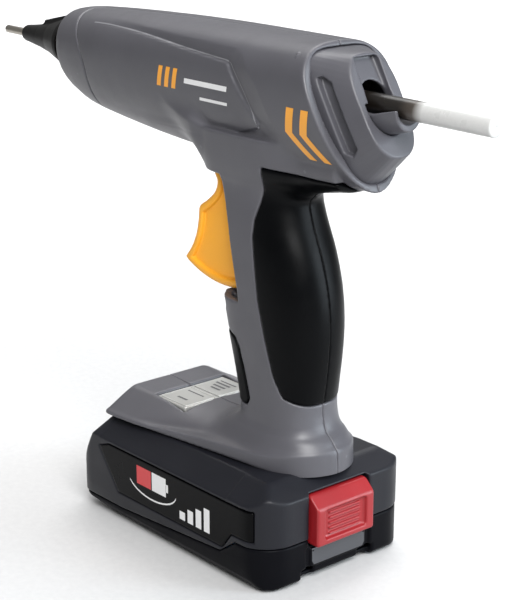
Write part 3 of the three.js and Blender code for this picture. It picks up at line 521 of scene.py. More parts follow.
# Half outlines of the hood as [y, z], where it leaves the housing and at its rear face.
COVER_BASE = [(0, 155.0), (5, 156.0), (9.6, 160.4), (12.2, 168), (14.8, 182), (15.9, 191.5), (14.4, 197.4),
              (9.5, 199.8), (0, 200.2)]
COVER_FACE = [(0, 166.0), (4.6, 166.8), (8.2, 169.6), (10.1, 174.6), (10.5, 182), (10.5, 189.4), (8.8, 195.4),
              (5, 199.0), (0, 199.8)]


def mirrored(half):
    """Closed smooth outline from the half on the positive side."""
    half = curve(half, 3)
    return half + [(-a, b) for a, b in reversed(half[1:-1])]


# Outlines in side view as [x, z]: the sunk band round the name panel, the panel, the grips, the bay.
PANEL_BAND = [(-100, 199.6), (-50.5, 199), (-16, 198.2), (5.3, 197.8), (22.8, 197.4), (27.6, 196),
              (38.4, 185.2), (47, 167.5), (43, 163.6), (20, 160.6), (-20, 160.4), (-100, 156)]
SIDE_PANEL = [(-100, 196.8), (-57, 197.0), (-39.5, 196.7), (-27.5, 196.0), (-16, 195.2), (-7.1, 194.3),
              (20.1, 192.3), (35.1, 171.6), (34, 169.6), (21.7, 165.9), (10.1, 163.3), (-100, 158)]
GRIP_SIDE = [(90, 155.2), (60, 154.6), (46, 154.8), (35.2, 155.4), (33.8, 147), (29.8, 134.7), (29.4, 128),
             (30.4, 122), (32.7, 104.9), (36.2, 89.9), (39.8, 76), (43.6, 68.4), (50.9, 65.4), (62, 66.6),
             (90, 68)]
FRONT_STRIP = [(-20, 88), (13, 88), (18.4, 86.4), (20.6, 83), (26, 63.6), (24.6, 61), (-20, 60.4)]
ARM_ROOM = [(-3, 140), (24, 140), (24, 168), (-12, 168), (-12, 160.5), (-3, 155)]
TRIGGER_BAY = [(-60, 101.4), (21, 101.4), (20.5, 106), (14.2, 134), (10.2, 148.6), (-60, 148.6)]
SCREWS = [(-58, 168), (-24, 163.6), (34, 163), (24, 96), (28, 71)]
BAND_DEPTH = 1.8
PANEL_RISE = 0.85
TRIGGER_ROOM = 12.2              # half width of the hollow round the trigger
LIP = (9.2, 98.4)                # centre of the rolled lip under the trigger
LIP_R = 4.0


def nose_line(x, z):
    """Positive behind the seam between the nose collar and the barrel."""
    bow = 4.5 * np.sin(np.clip((z - 156) / 46, 0, 1) * math.pi)
    lean = 12 * np.clip((z - 178) / 26, 0, 1) ** 1.6
    return x - (-76 + bow - lean)


def panel_step(x, y, z):
    """Depth of the name panel and its band below the barrel's surface, fading at nose and crown."""
    band, panel = -polygon(x, z, PANEL_BAND), polygon(x, z, SIDE_PANEL)
    sunk = np.clip(band / np.maximum(band + np.maximum(panel, 0), 0.01), 0, 1)
    level = BAND_DEPTH * sunk - PANEL_RISE * step01(-panel / 0.6)
    return level * step01((np.abs(y) - 8) / 4) * step01((x + 76) / 74) * step01((z - 160.5) / 5)


def shell_field(x, y, z, step):
    """Outer form of both housing halves together, with the barrel and the handle on their own."""
    tube = barrel(x, y, z, step) + panel_step(x, y, z)
    stem = handle(x, y, z, step)
    form = smooth_min(tube, stem, 1.4 + 9 * step01((7 - x) / 11))
    return smooth_min(form, foot(x, y, z, step), 9.0), tube, stem


def under_skin(x, z, stem, outline):
    """Room for a soft piece that lies flush in the handle."""
    return smooth_max(polygon(x, z, outline) - GAP, -(stem + SKIN + GAP), 0.4)


def housing_field(side):
    def field(x, y, z, step):
        form, tube, stem = shell_field(x, y, z, step)
        inner = form + 3.4
        form = smooth_max(form, rear_plane(x, z), 0.9)
        seat = smooth_max(polygon(y, z, mirrored(COVER_BASE)) - GAP, -rear_plane(x, z) - 6, 0.4)
        form = smooth_max(form, -seat, 0.8)
        form = smooth_max(form, -nose_line(x, z) + GAP, 0.7)
        form = smooth_max(form, -smooth_max(polygon(x, z, TRIGGER_BAY), np.abs(y) - 30, 0.1), 0.9)
        slot = rounded_box(x, y, z, (-4, -TRIGGER_ROOM, 103), (34.5, TRIGGER_ROOM, 154), 1.0)
        arms = smooth_max(polygon(x, z, ARM_ROOM), np.abs(y) - TRIGGER_ROOM, 0.5)
        form = smooth_max(form, -smooth_min(slot, arms, 0.5), 0.6)
        grip_room = smooth_max(under_skin(x, z, stem, GRIP_SIDE), -(tube - 0.1), 0.3)
        form = smooth_max(form, -grip_room, 0.5)
        form = smooth_max(form, -under_skin(x, z, stem, FRONT_STRIP), 0.5)
        form = smooth_max(form, -inner, 0.5)
        lip = np.sqrt((x - LIP[0]) ** 2 + (z - LIP[1]) ** 2 + 0 * y)
        form = smooth_min(form, smooth_max(lip - LIP_R, np.abs(y) - 9.5, 1.0), 1.6)
        form = smooth_max(form, -smooth_max(lip - LIP_R + 1.5, 7.6 - np.abs(y), 0.3), 0.5)
        keys = rounded_box(x, y, z, (-29, -17.6, 47), (-10, 17.6, 60), 0.6)
        form = smooth_max(form, -keys, 0.5)
        if side > 0:
            for screw_x, screw_z in SCREWS:
                head = np.sqrt((x - screw_x) ** 2 + (z - screw_z) ** 2 + 0 * y) - 3.4
                form = smooth_max(form, -smooth_max(head, 9 - y, 0.2), 0.5)
        return smooth_max(form, -side * y, 0.1)
    return field


def half_box(side, low, high):
    """Grid corners for one half of a piece, from those of the left half."""
    if side < 0:
        return low, high
    return (low[0], -high[1], low[2]), (high[0], -low[1], high[2])


def make_housing():
    for side, name in ((-1, "left"), (1, "right")):
        low, high = half_box(side, (-90, -36, FOOT_BASE - 1), (82, 0.8, 204))
        grow("shell_" + name, housing_field(side), low, high, 0.55, "gun", ["housing_" + name],
             HOUSING)


def from_axis(y, z):
    """Distance from the stick's axis."""
    return np.sqrt(y * y + (z - AXIS_Z) ** 2)


def make_collar():
    def field(x, y, z, step):
        tube = barrel(x, y, z, step)
        form = smooth_max(tube, nose_line(x, z), 0.7)
        form = smooth_max(form, NOSE_X - x, 0.9)
        groove = 0.55 * np.exp(-((x + 101.6) / 0.55) ** 2)
        form = smooth_max(form + groove, -(from_axis(y, z) + 0 * x - 8.9), 0.5)
        return smooth_max(form, -(tube + WALL), 0.3)
    grow("nose_ring", field, (NOSE_X, -21, 158), (-70, 21, 202), 0.45, "gun", ["nose_collar"],
         HOUSING)


SLEEVE_BORE = 1.85
# Half section of the sleeve as [x, radius], and its top fin as [x, height above the axis].
SLEEVE_SECTION = [(-141, SLEEVE_BORE), (-141.2, 3.0), (-140.4, 3.5), (-134, 4.3), (-128, 5.1), (-119, 6.8),
                  (-112, 8.8), (-107.4, 10.2), (-105.4, 10.3), (-105.3, 8.6), (-103, 8.6),
                  (-103, SLEEVE_BORE)]
SLEEVE_FIN = [(-128, 4), (-125, 7.4), (-107, 11.4), (-105.4, 11.4), (-105.4, 0), (-128, 0)]


def make_sleeve():
    def field(x, y, z, step):
        radius = from_axis(y, z) + 0 * x
        body = polygon(x + 0 * radius, radius, SLEEVE_SECTION)
        fin = smooth_max(polygon(x, z - AXIS_Z, SLEEVE_FIN), np.abs(y) - 1.6, 0.8)
        return smooth_max(smooth_min(body, fin, 0.9), -(radius - SLEEVE_BORE), 0.2)
    grow("nozzle_boot", field, (-142, -11.5, 170), (-102, 11.5, 196), 0.3, "gun", ["nozzle_sleeve"],
         SLEEVE)


LATHE_SIDES = 64


def lathe(name, profile, body, replaces, material, bevel):
    """Turned piece about the stick axis, from [x, radius] corners, with its corners rounded."""
    bm = bmesh.new()
    turns = [2 * math.pi * i / LATHE_SIDES for i in range(LATHE_SIDES)]
    rings = [[bm.verts.new((px * MM, radius * MM * math.cos(turn), (AXIS_Z + radius * math.sin(turn)) * MM))
              for turn in turns] for px, radius in profile]
    for ring, following in zip(rings, rings[1:] + rings[:1]):
        for i in range(LATHE_SIDES):
            j = (i + 1) % LATHE_SIDES
            bm.faces.new((ring[i], ring[j], following[j], following[i]))
    bmesh.ops.recalc_face_normals(bm, faces=bm.faces)
    mesh = mesh_of(name, bm)
    mesh.polygons.foreach_set("use_smooth", np.ones(len(mesh.polygons), bool))
    obj = placed(name, mesh)
    edge = obj.modifiers.new("edge", "BEVEL")
    edge.width = bevel * MM
    edge.segments = 2
    edge.limit_method = "ANGLE"
    finish_piece(obj, body, replaces, material)


NOZZLE_R = 1.72


def make_nozzle_and_stick():
    tube = [(NOZZLE_TIP, 0.9), (NOZZLE_TIP, 1.5), (NOZZLE_TIP + 0.5, NOZZLE_R), (-131, NOZZLE_R), (-131, 0.8)]
    lathe("nozzle_tube", tube, "gun", ["nozzle"], STEEL, 0.12)
    rod = [(STICK_FRONT, 0.02), (STICK_FRONT, STICK_R), (STICK_BACK, STICK_R), (STICK_BACK, 0.02)]
    lathe("stick_of_glue", rod, "stick", ["glue_stick"], GLUE, 0.5)


# ---------- grips ----------


def grip_field(side):
    def field(x, y, z, step):
        tube, stem = barrel(x, y, z, step), handle(x, y, z, step)
        skin = smooth_max(stem - 0.25, polygon(x, z, GRIP_SIDE), 1.0)
        skin = smooth_max(skin, -(stem + SKIN), 0.2)
        skin = smooth_max(skin, -(tube - 0.3), 0.3)
        return smooth_max(skin, -side * y - 0.1, 0.1)
    return field


def make_grips():
    for side, name in ((-1, "grip_left"), (1, "grip_right")):
        low, high = half_box(side, (27, -21, 66), (74, 0.8, 166))
        grow("soft_" + name, grip_field(side), low, high, 0.55, "gun", [name], RUBBER)

    def strip(x, y, z, step):
        stem = handle(x, y, z, step)
        return smooth_max(smooth_max(stem - 0.2, polygon(x, z, FRONT_STRIP), 0.9), -(stem + SKIN), 0.2)
    grow("soft_strip", strip, (2, -18, 58), (28, 18, 91), 0.45, "gun", ["grip_front"], RUBBER)


# ---------- rear cover and guide ----------
FACE_TILT = math.radians(30)
FACE_X = 79.6
VENT = [(62.6, 191.6), (64.4, 192.2), (67.8, 190.4), (78.2, 168.6), (76.4, 165.6), (73.0, 166.6)]
CHANNEL_HALF = 5.9
MOUTH_Z = 183.8                  # centre of the opening that the stick goes in through


def face_plane(x, z):
    """Distance behind the hood's slanted rear face."""
    return (x - FACE_X) * math.cos(FACE_TILT) + (z - AXIS_Z) * math.sin(FACE_TILT)


def scoop_bowl(x, y, z, step):
    """Outer form of the half pipe that carries the stick, tapering to the back."""
    share = np.clip((x - 82) / 14, 0, 1)
    half, low = 7.7 - 1.7 * share, 172.6 + 3.6 * share
    down = np.minimum(z - AXIS_Z, 0) / (AXIS_Z - low)
    return unit((np.sqrt((y / half) ** 2 + down ** 2) - 1) * half, step)


def cover_field(x, y, z, step):
    """Hood whose outline narrows from the housing's cut to its own rear face, with all its openings."""
    out, face = rear_plane(x, z), face_plane(x, z)
    share = np.clip(out / np.maximum(out - face, 1e-3), -0.5, 1.2)
    corners = [(p[0] + (q[0] - p[0]) * share, p[1] + (q[1] - p[1]) * share)
               for p, q in zip(mirrored(COVER_BASE), mirrored(COVER_FACE))]
    hood = polygon(y + 0 * share, z + 0 * share, corners)
    form = smooth_max(smooth_max(hood, face, 0.7), -out - 5.5, 0.4)
    floor = (x - 67.2) * 0.841 + (z - 199) * 0.541
    channel = smooth_max(np.abs(y) - CHANNEL_HALF, -floor, 1.2)
    channel = smooth_max(smooth_max(channel, AXIS_Z - z, 0.5), z - 198.4, 1.5)
    hollow = smooth_max(smooth_max(hood + 3.6, face + 2.4, 0.5), 2.0 - channel, 0.5)
    form = smooth_max(form, -hollow, 0.3)
    form = smooth_max(form, -channel, 0.6)
    height = np.maximum(np.abs(z - MOUTH_Z) - 1.2, 0)
    mouth = smooth_max(np.sqrt((y * 0.9) ** 2 + height ** 2) - 5.4, 60 - x, 0.5)
    form = smooth_max(form, -mouth, 0.7)
    scoop_room = smooth_max(scoop_bowl(x, y, z, step) - 0.25, z - AXIS_Z - 0.9, 0.2)
    form = smooth_max(form, -scoop_room, 0.3)
    vent = smooth_max(polygon(x + 0 * z, z + 0 * x, VENT), -(hood + 2.6), 0.4)
    return smooth_max(form, -vent, 0.6)


def guide_field(x, y, z, step):
    """Half pipe under the stick, cut off square behind and rising a little to the back."""
    top = 180.4 + 0.24 * np.maximum(x - 80, 0)
    form = smooth_max(scoop_bowl(x, y, z, step), z - top, 0.5)
    form = smooth_max(form, 64 - x, 0.3)
    form = smooth_max(form, (x - 92.6) + 0.1 * (z - 178.0), 0.6)
    flare = 4.6 + 0.8 * np.clip((x - 84) / 12, 0, 1)
    return smooth_max(form, -(from_axis(y, z) - flare), 0.5)


def make_rear():
    grow("rear_hood", cover_field, (52, -18, 152), (92, 18, 202), 0.4, "gun", ["rear_cover"],
         COVER)
    grow("stick_scoop", guide_field, (64, -9, 171), (98, 9, 185), 0.3, "gun", ["stick_guide"],
         HOUSING)


# ---------- trigger ----------
TRIGGER_FRONT = [(-1.0, 150.2), (0.6, 146), (1.8, 143.4), (0.2, 139.4), (-4.6, 135.2), (-9.0, 132.0),
                 (-9.8, 127), (-11.2, 121), (-14.2, 115), (-18.3, 109.8)]
TRIGGER_BACK = [(16.5, 130), (13, 151), (10, 156), (1, 156)]
ARC_STEPS = 14
DRIVE_PIN = (4.5, 173)


def trigger_outline():
    """Finger curve in front, an arc about the pivot below, and straight lines behind."""
    toe = TRIGGER_FRONT[-1]
    start = math.atan2(toe[1] - PIVOT[1], toe[0] - PIVOT[0])
    end = math.atan2(-45, 13)
    turns = [start + (end - start) * i / ARC_STEPS for i in range(1, ARC_STEPS + 1)]
    arc = [(PIVOT[0] + TRIGGER_REACH * math.cos(turn), PIVOT[1] + TRIGGER_REACH * math.sin(turn))
           for turn in turns]
    return curve(TRIGGER_FRONT, 5) + arc + TRIGGER_BACK


def trigger_field(x, y, z, step):
    """Broad finger piece with sunk sides, and two arms that reach up to the drive pin."""
    outline = polygon(x, z, trigger_outline())
    side = np.abs(y)
    form = smooth_max(outline, side - TRIGGER_HALF, 2.6)
    sunk = smooth_max(outline + 3.6, -(side - 9.4), 0.4)
    form = smooth_max(form, -smooth_max(sunk, 8.0 - side, 0.3), 1.2)
    between = smooth_max(154.6 - z, side - 8.1, 0.3)
    form = smooth_max(form, -between, 0.3)
    arms = rounded_box(x, side, z, (0.6, 8.2, 150), (8.4, TRIGGER_HALF, 176), 0.5)
    form = smooth_min(form, arms, 0.3)
    bore = np.sqrt((x - PIVOT[0]) ** 2 + (z - PIVOT[1]) ** 2) - 1.85 + 0 * y
    drive = np.sqrt((x - DRIVE_PIN[0]) ** 2 + (z - DRIVE_PIN[1]) ** 2) - 1.6 + 0 * y
    return smooth_max(smooth_max(form, -bore, 0.2), -drive, 0.2)


def make_trigger():
    grow("finger_trigger", trigger_field, (-19, -12, 103), (20, 12, 177), 0.4, "trigger", ["trigger"],
         ORANGE)


# ---------- battery ----------
# Outlines as [x, z] in side view and [half width, z] seen from an end.
BATTERY_SIDE = [(-36, 0), (-50, 3.0), (-56.4, 7), (-58.5, 12), (-46.4, 33.5), (-42.6, BATTERY_TOP),
                (52, BATTERY_TOP), (BATTERY_BACK, 35), (BATTERY_BACK, 2.4), (BATTERY_BACK - 2.4, 0)]
BATTERY_END = [(34.5, 0), (37.2, 4), (38.5, 11), (38.5, 33.5), (28, BATTERY_TOP)]
SEAM = [(-90, 5.5), (-26, 6), (36, 10.6), (45, 17), (90, 17.6)]
LABEL = [(-41, 29.6), (-28.4, 13), (37.6, 13), (43, 20), (54, 20), (54, 32), (-34, 32)]
LABEL_Y = 20                     # the label's region starts this far from the centre plane
REAR_CORNER, FRONT_CORNER = 15, 12
BATTERY_SCREWS = [(-48, -30, 4.6), (-48, 30, 4.6), (53, -25, 1.8), (53, 25, 1.8)]    # x, y, seat


def round_corner(over_x, over_y, radius):
    """Upright corner of a radius, from how far a point is past the corner's centre."""
    return np.sqrt(np.maximum(over_x, 0) ** 2 + np.maximum(over_y, 0) ** 2) - radius


def battery_block(x, y, z):
    side = polygon(x, z, BATTERY_SIDE)
    end = polygon(y, z, BATTERY_END + [(-a, b) for a, b in reversed(BATTERY_END)])
    rear = round_corner(x - (BATTERY_BACK - REAR_CORNER), np.abs(y) - (BATTERY_HALF - REAR_CORNER),
                        REAR_CORNER)
    front = round_corner((BATTERY_FRONT + FRONT_CORNER) - x, np.abs(y) - (BATTERY_HALF - FRONT_CORNER),
                         FRONT_CORNER)
    return smooth_max(smooth_max(smooth_max(side, end, 1.6), rear, 1.0), front, 1.0)


def seam_height(x):
    """Height of the joint between the two case halves."""
    return np.interp(x, [p[0] for p in SEAM], [p[1] for p in SEAM]).astype(np.float32)


def latch_room(x, y, z, gap):
    return rounded_box(x, y, z, (52, -15 - gap, 14.6 - gap), (80, 15 + gap, 35 + gap), 1.0)


def upper_field(x, y, z, step):
    """Upper case: label seats, rail trench, latch opening, hook slot and shoulder groove."""
    block = battery_block(x, y, z)
    form = smooth_max(block, seam_height(x) + GAP - z, 0.8)
    label = smooth_max(polygon(x, z, LABEL) - GAP, LABEL_Y - np.abs(y), 0.5)
    form = smooth_max(form, -smooth_max(label, -(block + 1.0), 0.4), 0.6)
    trench = rounded_box(x, y, z, (-90, -19, 33.6), (34, 19, 60), 0.6)
    form = smooth_max(form, -trench, 0.5)
    rails = rounded_box(x, y, z, (-90, -21.2, 34.9), (34, 21.2, 37.9), 0.4)
    form = smooth_max(form, -rails, 0.3)
    form = smooth_max(form, -latch_room(x, y, z, 0.5), 0.7)
    hook = rounded_box(x, y, z, (46.2, -7.3, 25), (49.8, 7.3, 60), 0.3)
    form = smooth_max(form, -hook, 0.3)
    ridge = np.abs(np.abs(y) - 34.6 + (z - 36.4) * 1.33) - 0.45 + 0 * x
    groove = smooth_max(smooth_max(ridge, np.abs(x) - 40, 0.3), -(block + 0.7), 0.2)
    form = smooth_max(form, -groove, 0.4)
    inside = smooth_max(block + 2.6, z - 31, 0.5)
    return smooth_max(form, -inside, 0.4)


def lower_field(x, y, z, step):
    """Lower case: latch opening, tongue under the button, two rear notches and screw bores."""
    block = battery_block(x, y, z)
    form = smooth_max(block + 0.25, z - seam_height(x), 0.8)
    form = smooth_max(form, -latch_room(x, y, z, 0.4), 0.6)
    tab = rounded_box(x, y, z, (56, -16.5, -5), (70, 16.5, 14.2), 1.0)
    form = smooth_max(form, -smooth_max(tab, -(block + 1.3), 0.4), 0.5)
    tongue = rounded_box(x, y, z, (52, -14.4, 5.4), (61.6, 14.4, 13.4), 1.0)
    form = smooth_min(form, smooth_max(tongue, block + 0.3, 0.8), 0.3)
    for y0, y1 in ((-19, -12), (11, 18)):
        notch = rounded_box(x, y, z, (58.6, y0, -3), (70, y1, 5.6), 0.8)
        form = smooth_max(form, -notch, 0.6)
    for screw_x, screw_y, seat in BATTERY_SCREWS:
        bore = np.sqrt((x - screw_x) ** 2 + (y - screw_y) ** 2) - 3
        form = smooth_max(form, -smooth_max(bore, z - seat, 0.2), 0.3)
    inside = smooth_max(block + 2.8, -z + 2.4, 0.5)
    return smooth_max(form, -inside, 0.4)


def label_field(side):
    """Glossy plate sunk into one side of the case."""
    def field(x, y, z, step):
        block = battery_block(x, y, z)
        form = smooth_max(polygon(x, z, LABEL), block, 0.5)
        form = smooth_max(form, -(block + 0.7), 0.2)
        return smooth_max(form, LABEL_Y - side * y, 0.2)
    return field


RIBS = 5


def button_field(x, y, z, step):
    """Release button: sloped top, ribbed dish, and room inside for its spring."""
    form = rounded_box(x, y, z, (56.4, -14.6, 14.9), (65.6, 14.6, 34.7), 1.1)
    form = smooth_max(form, (x - 63.3) * 0.68 + (z - 32.2) * 0.73, 0.8)
    dish = rounded_box(x, y, z, (63.9, -10.6, 17.4), (72, 10.6, 29.2), 1.3)
    form = smooth_max(form, -dish, 0.8)
    low, high = (np.array(v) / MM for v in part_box("latch_spring"))
    coil_room = rounded_box(x, y, z, (50, low[1] - 0.5, low[2] - 0.5),
                            (min(high[0] + 3.4, 61.8), high[1] + 0.5, high[2] + 0.5), 0.4)
    form = smooth_max(form, -coil_room, 0.2)
    for i in range(RIBS):
        rib = rounded_box(x, y, z, (63.2, -8.0, 18.6 + 2.1 * i), (64.8, 8.0, 19.5 + 2.1 * i), 0.35)
        form = smooth_min(form, rib, 0.25)
    return form


def make_battery():
    low, high = (BATTERY_FRONT, -BATTERY_HALF, 0), (BATTERY_BACK, BATTERY_HALF, BATTERY_TOP)
    grow("case_upper", upper_field, (low[0], low[1], 4), high, 0.5, "battery", ["battery_upper"],
         CASE)
    grow("case_lower", lower_field, low, (high[0], high[1], 20), 0.5, "battery", ["battery_lower"],
         CASE_PAINTED_SHADE)
    for side, name in ((-1, "left"), (1, "right")):
        y0, y1 = (-39, -19) if side < 0 else (19, 39)
        grow("gloss_label_" + name, label_field(side), (-43, y0, 11), (56, y1, 34), 0.35, "battery",
             ["battery_label_" + name], GLOSS)
    grow("release_button", button_field, (56, -15, 14), (66, 15, 36), 0.25, "latch_button",
         ["latch_button"], RED)


# ---------- keys ----------
KEY_GAP = 0.2


def make_keys():
    low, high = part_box("key_frame")
    low, high = np.array(low) / MM, np.array(high) / MM

    def frame_field(x, y, z, step):
        form = rounded_box(x, y, z, low, high, 0.4)
        for name in ("key_1", "key_2"):
            a, b = (np.array(v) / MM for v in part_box(name))
            room = rounded_box(x, y, z, (a[0] - KEY_GAP, a[1] - KEY_GAP, a[2] - 3),
                               (b[0] + KEY_GAP, b[1] + KEY_GAP, b[2] + 5), 0.5)
            form = smooth_max(form, -room, 0.3)
        return form
    grow("key_surround", frame_field, low, high, 0.3, "gun", ["key_frame"], SILVER)
    for name in ("key_1", "key_2"):
        a, b = (np.array(v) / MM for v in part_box(name))

        def key_field(x, y, z, step, a=a, b=b):
            form = rounded_box(x, y, z, a, b, 0.4)
            dish = ((x - (a[0] + b[0]) / 2) / 14) ** 2 + ((y - (a[1] + b[1]) / 2) / 12) ** 2
            return form + 0.25 * np.maximum(1 - dish, 0) * (z > (a[2] + b[2]) / 2)
        grow(name.replace("key", "touch_key"), key_field, a, b, 0.25, name, [name], SILVER)


# ---------- printed marks ----------


# Axes that run across and up a print, and the direction in which it's looked at.
VIEWS = {"left": (X, Z, (0, 1, 0)), "right": (X, Z, (0, -1, 0)), "top": (X, Y, (0, 0, -1)),
         "rear": (Y, Z, (-1, 0, 0))}
PRINT_CELL = 1.6


def printed(name, shapes, onto, body, material, view, lift=0.07):
    """Thin print laid on the surface of a piece: flat shapes in mm, seen from one side."""
    across, up, sight = VIEWS[view]
    target = PIECES[onto]
    tree = BVHTree.FromPolygons([v.co.copy() for v in target.data.vertices],
                                [tuple(p.vertices) for p in target.data.polygons])
    sight = Vector(sight)
    bm = bmesh.new()
    for shape in shapes:
        corners = []
        for a, b in shape:
            place = [0, 0, 0]
            place[across], place[up] = a * MM, b * MM
            corners.append(bm.verts.new(place))
        bm.faces.new(corners)
    for axis, which in ((across, 0), (up, 1)):
        values = [point[which] for shape in shapes for point in shape]
        cut = min(values) + PRINT_CELL
        while cut < max(values):
            spot, normal = [0, 0, 0], [0, 0, 0]
            spot[axis], normal[axis] = cut * MM, 1
            bmesh.ops.bisect_plane(bm, geom=bm.verts[:] + bm.edges[:] + bm.faces[:], plane_co=spot,
                                   plane_no=normal)
            cut += PRINT_CELL
    bmesh.ops.triangulate(bm, faces=[f for f in bm.faces if len(f.verts) > 4])
    lost = []
    for vert in bm.verts:
        start = Vector(vert.co) - sight * 0.3
        hit, normal, _, _ = tree.ray_cast(start, sight)
        if hit is None:
            lost.append(vert)
        else:
            vert.co = hit - sight * (lift * MM)
    bmesh.ops.delete(bm, geom=lost, context="VERTS")
    bmesh.ops.recalc_face_normals(bm, faces=bm.faces)
    for face in bm.faces:
        if face.normal.dot(sight) > 0:
            face.normal_flip()
    finish_piece(placed(name, mesh_of(name, bm)), body, [], material)


def slab(x0, z0, x1, z1, lean=0.0):
    """Upright bar, or a leaning one."""
    return [(x0, z0), (x1, z0), (x1 + lean, z1), (x0 + lean, z1)]


def chevron(tip, middle=171.6, reach=5.6, thick=3.7, half=9.3, lean=0.3):
    """Arrow head pointing to the nozzle, leaning with the back edge of the housing."""
    high, low = -half * lean, half * lean
    return [[(tip, middle), (tip + thick, middle), (tip + reach + thick + high, middle + half),
             (tip + reach + high, middle + half)],
            [(tip, middle), (tip + reach + low, middle - half), (tip + reach + thick + low, middle - half),
             (tip + thick, middle)]]


def bead(line, across, up):
    """Thin strip along a line: each stretch widened by the given offsets."""
    return [[a, b, (b[0] + across, b[1] + up), (a[0] + across, a[1] + up)] for a, b in zip(line, line[1:])]


PANEL_TOP_EDGE = [(-68, 196.6), (-57, 196.9), (-39.5, 196.5), (-27.5, 195.8), (-10.9, 194.5), (4, 193.5),
                  (18.6, 192.6)]
PANEL_REAR_EDGE = [(20.4, 192.3), (22.6, 191.2), (29.2, 182.8), (33.6, 171.4), (33.2, 169.4), (31.4, 168.3)]
LATCH_TAB = [(-12.6, 6.4), (12.6, 6.4), (13.6, 8.0), (13.6, 13.0), (-13.6, 13.0), (-13.6, 8.0)]


def make_barrel_prints(side):
    """Painted highlight as a light bead on the panel's edge, generic bars and rules, and arrows in the feed
    direction.
    """
    top, rear = curve(PANEL_TOP_EDGE, 3), curve(PANEL_REAR_EDGE, 3)
    edge = bead(top + rear[:1], 0.2, 0.42) + bead(rear, 0.42, 0.12)
    bars = [slab(-21.5 + 4.4 * i, 178.4, -19.1 + 4.4 * i, 186.4, 2.6) for i in range(3)]
    rules = [slab(-4.5, 181.4, 20, 183.4, 0.6), slab(3.5, 176.0, 19.2, 177.2, 0.4)]
    shell = "shell_" + side
    # The bead is a painted highlight along the panel's edge.
    printed("panel_painted_highlight_" + side, edge, shell, "gun", PAINTED_HIGHLIGHT, side, 0.12)
    printed("print_bars_" + side, bars, shell, "gun", PRINT_ORANGE, side)
    printed("print_rules_" + side, rules, shell, "gun", PRINT_WHITE, side)
    printed("print_arrows_" + side, chevron(50.5) + chevron(57.9), shell, "gun", PRINT_ORANGE, side)


def make_label_prints(side):
    """Generic battery sign, half red and half white, an arc under it and four level bars."""
    badge = [slab(-15.5, 21.4, -6.2, 29.2)]
    cell = [slab(-5.6, 21.4, 3.4, 29.2), slab(3.6, 23.6, 4.8, 27)]
    levels = [slab(12 + 5 * i, 15.6, 15.4 + 5 * i, 19 + 2.1 * i) for i in range(4)]
    arc = [(-5.5 + 15.5 * math.cos(turn), 24.6 + 7.0 * math.sin(turn)) for turn in np.linspace(3.5, 6.1, 15)]
    label = "gloss_label_" + side
    printed("print_badge_" + side, badge, label, "battery", PRINT_RED, side)
    printed("print_levels_" + side, cell + levels + bead(arc, 0, -0.7), label, "battery", PRINT_WHITE, side)


def make_key_prints():
    """One bar on the low key and three on the high one, each with a line under them."""
    for name, count in (("key_1", 1), ("key_2", 3)):
        low, high = (np.array(v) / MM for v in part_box(name))
        x, y = (low[0] + high[0]) / 2, (low[1] + high[1]) / 2
        marks = [slab(x - 3 - 1.4 * i, y - 3.4 + 2.6 * i, x + 3, y - 2.2 + 2.6 * i) for i in range(count)]
        marks.append(slab(x - 5.6, y + 4.2, x + 4.4, y + 5.0))
        printed("print_" + name, marks, "touch_" + name, name, PRINT_GREY, "top", 0.05)


def make_prints():
    for side in ("left", "right"):
        make_barrel_prints(side)
        make_label_prints(side)
    printed("latch_tab", [LATCH_TAB], "case_lower", "battery", TAB_GREY, "rear")
    make_key_prints()


make_housing()
make_collar()
make_sleeve()
make_nozzle_and_stick()
make_grips()
make_rear()
make_trigger()
make_battery()
make_keys()
make_prints()

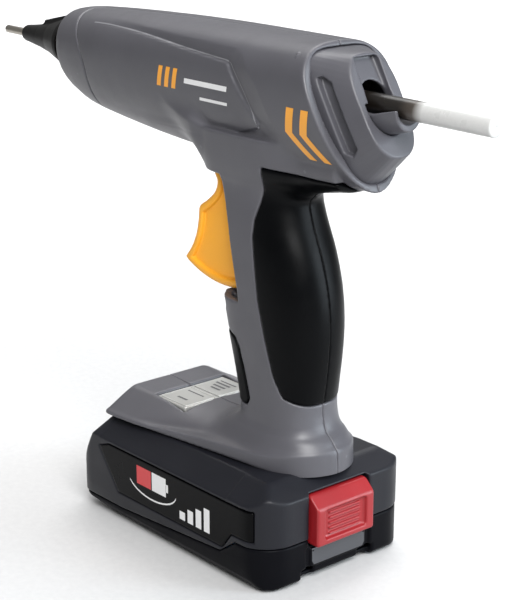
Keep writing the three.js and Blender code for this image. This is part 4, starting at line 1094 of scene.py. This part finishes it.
# ---------- CAD nodes that stay ----------
# Finish by the start of a node's name. The longest start that fits counts.
KEPT = {
    "housing_screw": SCREW, "battery_screw": SCREW, "trigger_pin": SCREW, "drive_pin": SCREW,
    "grip_jaw": SCREW, "melt_chamber": ALUMINIUM, "heater_element": CERAMIC, "thermal_sensor": CERAMIC,
    "chamber_ring": NYLON, "feed_carriage": NYLON, "cell_holder": NYLON, "inlet_sleeve": SILICONE,
    "trigger_spring": SCREW, "latch_spring": SCREW, "control_board": BOARD, "battery_board": BOARD,
    "contact_block": DARK,
    "latch_hook": DARK, "heater_lead": SILICONE, "cell_": CELL, "contact_": BRASS,
}
for name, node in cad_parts.items():
    for start in sorted(KEPT, key=len, reverse=True):
        if name.startswith(start):
            node.data.materials.clear()
            node.data.materials.append(KEPT[start])
            break

# ---------- stage ----------


def make_stage():
    bm = bmesh.new()
    bmesh.ops.create_grid(bm, x_segments=2, y_segments=2, size=6)
    floor = placed("studio_floor", mesh_of("studio_floor", bm))
    floor.location.z = -0.0004
    floor.data.materials.append(plastic("studio_paper", (0.58, 0.58, 0.58), 0.9, grain=0.02, grain_size=3,
                                        mottle=0.004, edge=1.0))


def aim(obj, place, target):
    obj.location = place
    obj.rotation_euler = (Vector(target) - Vector(place)).to_track_quat("-Z", "Y").to_euler()


def area(name, place, target, size, power, color=(1, 1, 1)):
    data = bpy.data.lights.new(name, "AREA")
    data.shape = "RECTANGLE"
    data.size, data.size_y = size
    data.energy = power
    data.color = color
    aim(placed(name, data), place, target)
    return data


def make_lights():
    world = bpy.data.worlds.new("studio")
    world.use_nodes = True
    world.node_tree.nodes["Background"].inputs["Color"].default_value = (1, 1, 1, 1)
    world.node_tree.nodes["Background"].inputs["Strength"].default_value = 0.32
    bpy.context.scene.world = world
    bpy.context.scene.view_settings.view_transform = "Standard"
    middle = (0, 0, 0.11)
    area("key", (0.85, -0.42, 0.92), middle, (0.7, 0.7), 20)
    area("top", (0.1, 0.25, 1.2), middle, (0.8, 0.8), 2)
    area("rear", (0.85, 0.6, 0.35), middle, (0.4, 0.8), 9, (0.82, 0.92, 1))
    backdrop = area("backdrop", (-0.9, 0.9, 1.3), (-0.9, 0.9, 0), (1.6, 1.6), 26)
    backdrop.spread = math.radians(110)


def make_camera():
    """Camera at the photo's angle: from behind, to the left of the tool and a little above."""
    data = bpy.data.cameras.new("camera")
    data.sensor_width = 36
    data.sensor_fit = "AUTO"
    data.lens = 99.25
    camera = placed("camera", data)
    aim(camera, (0.4765, -0.3974, 0.2894), (0.0111, 0, 0.0964))
    bpy.context.scene.camera = camera


make_stage()
make_lights()
make_camera()
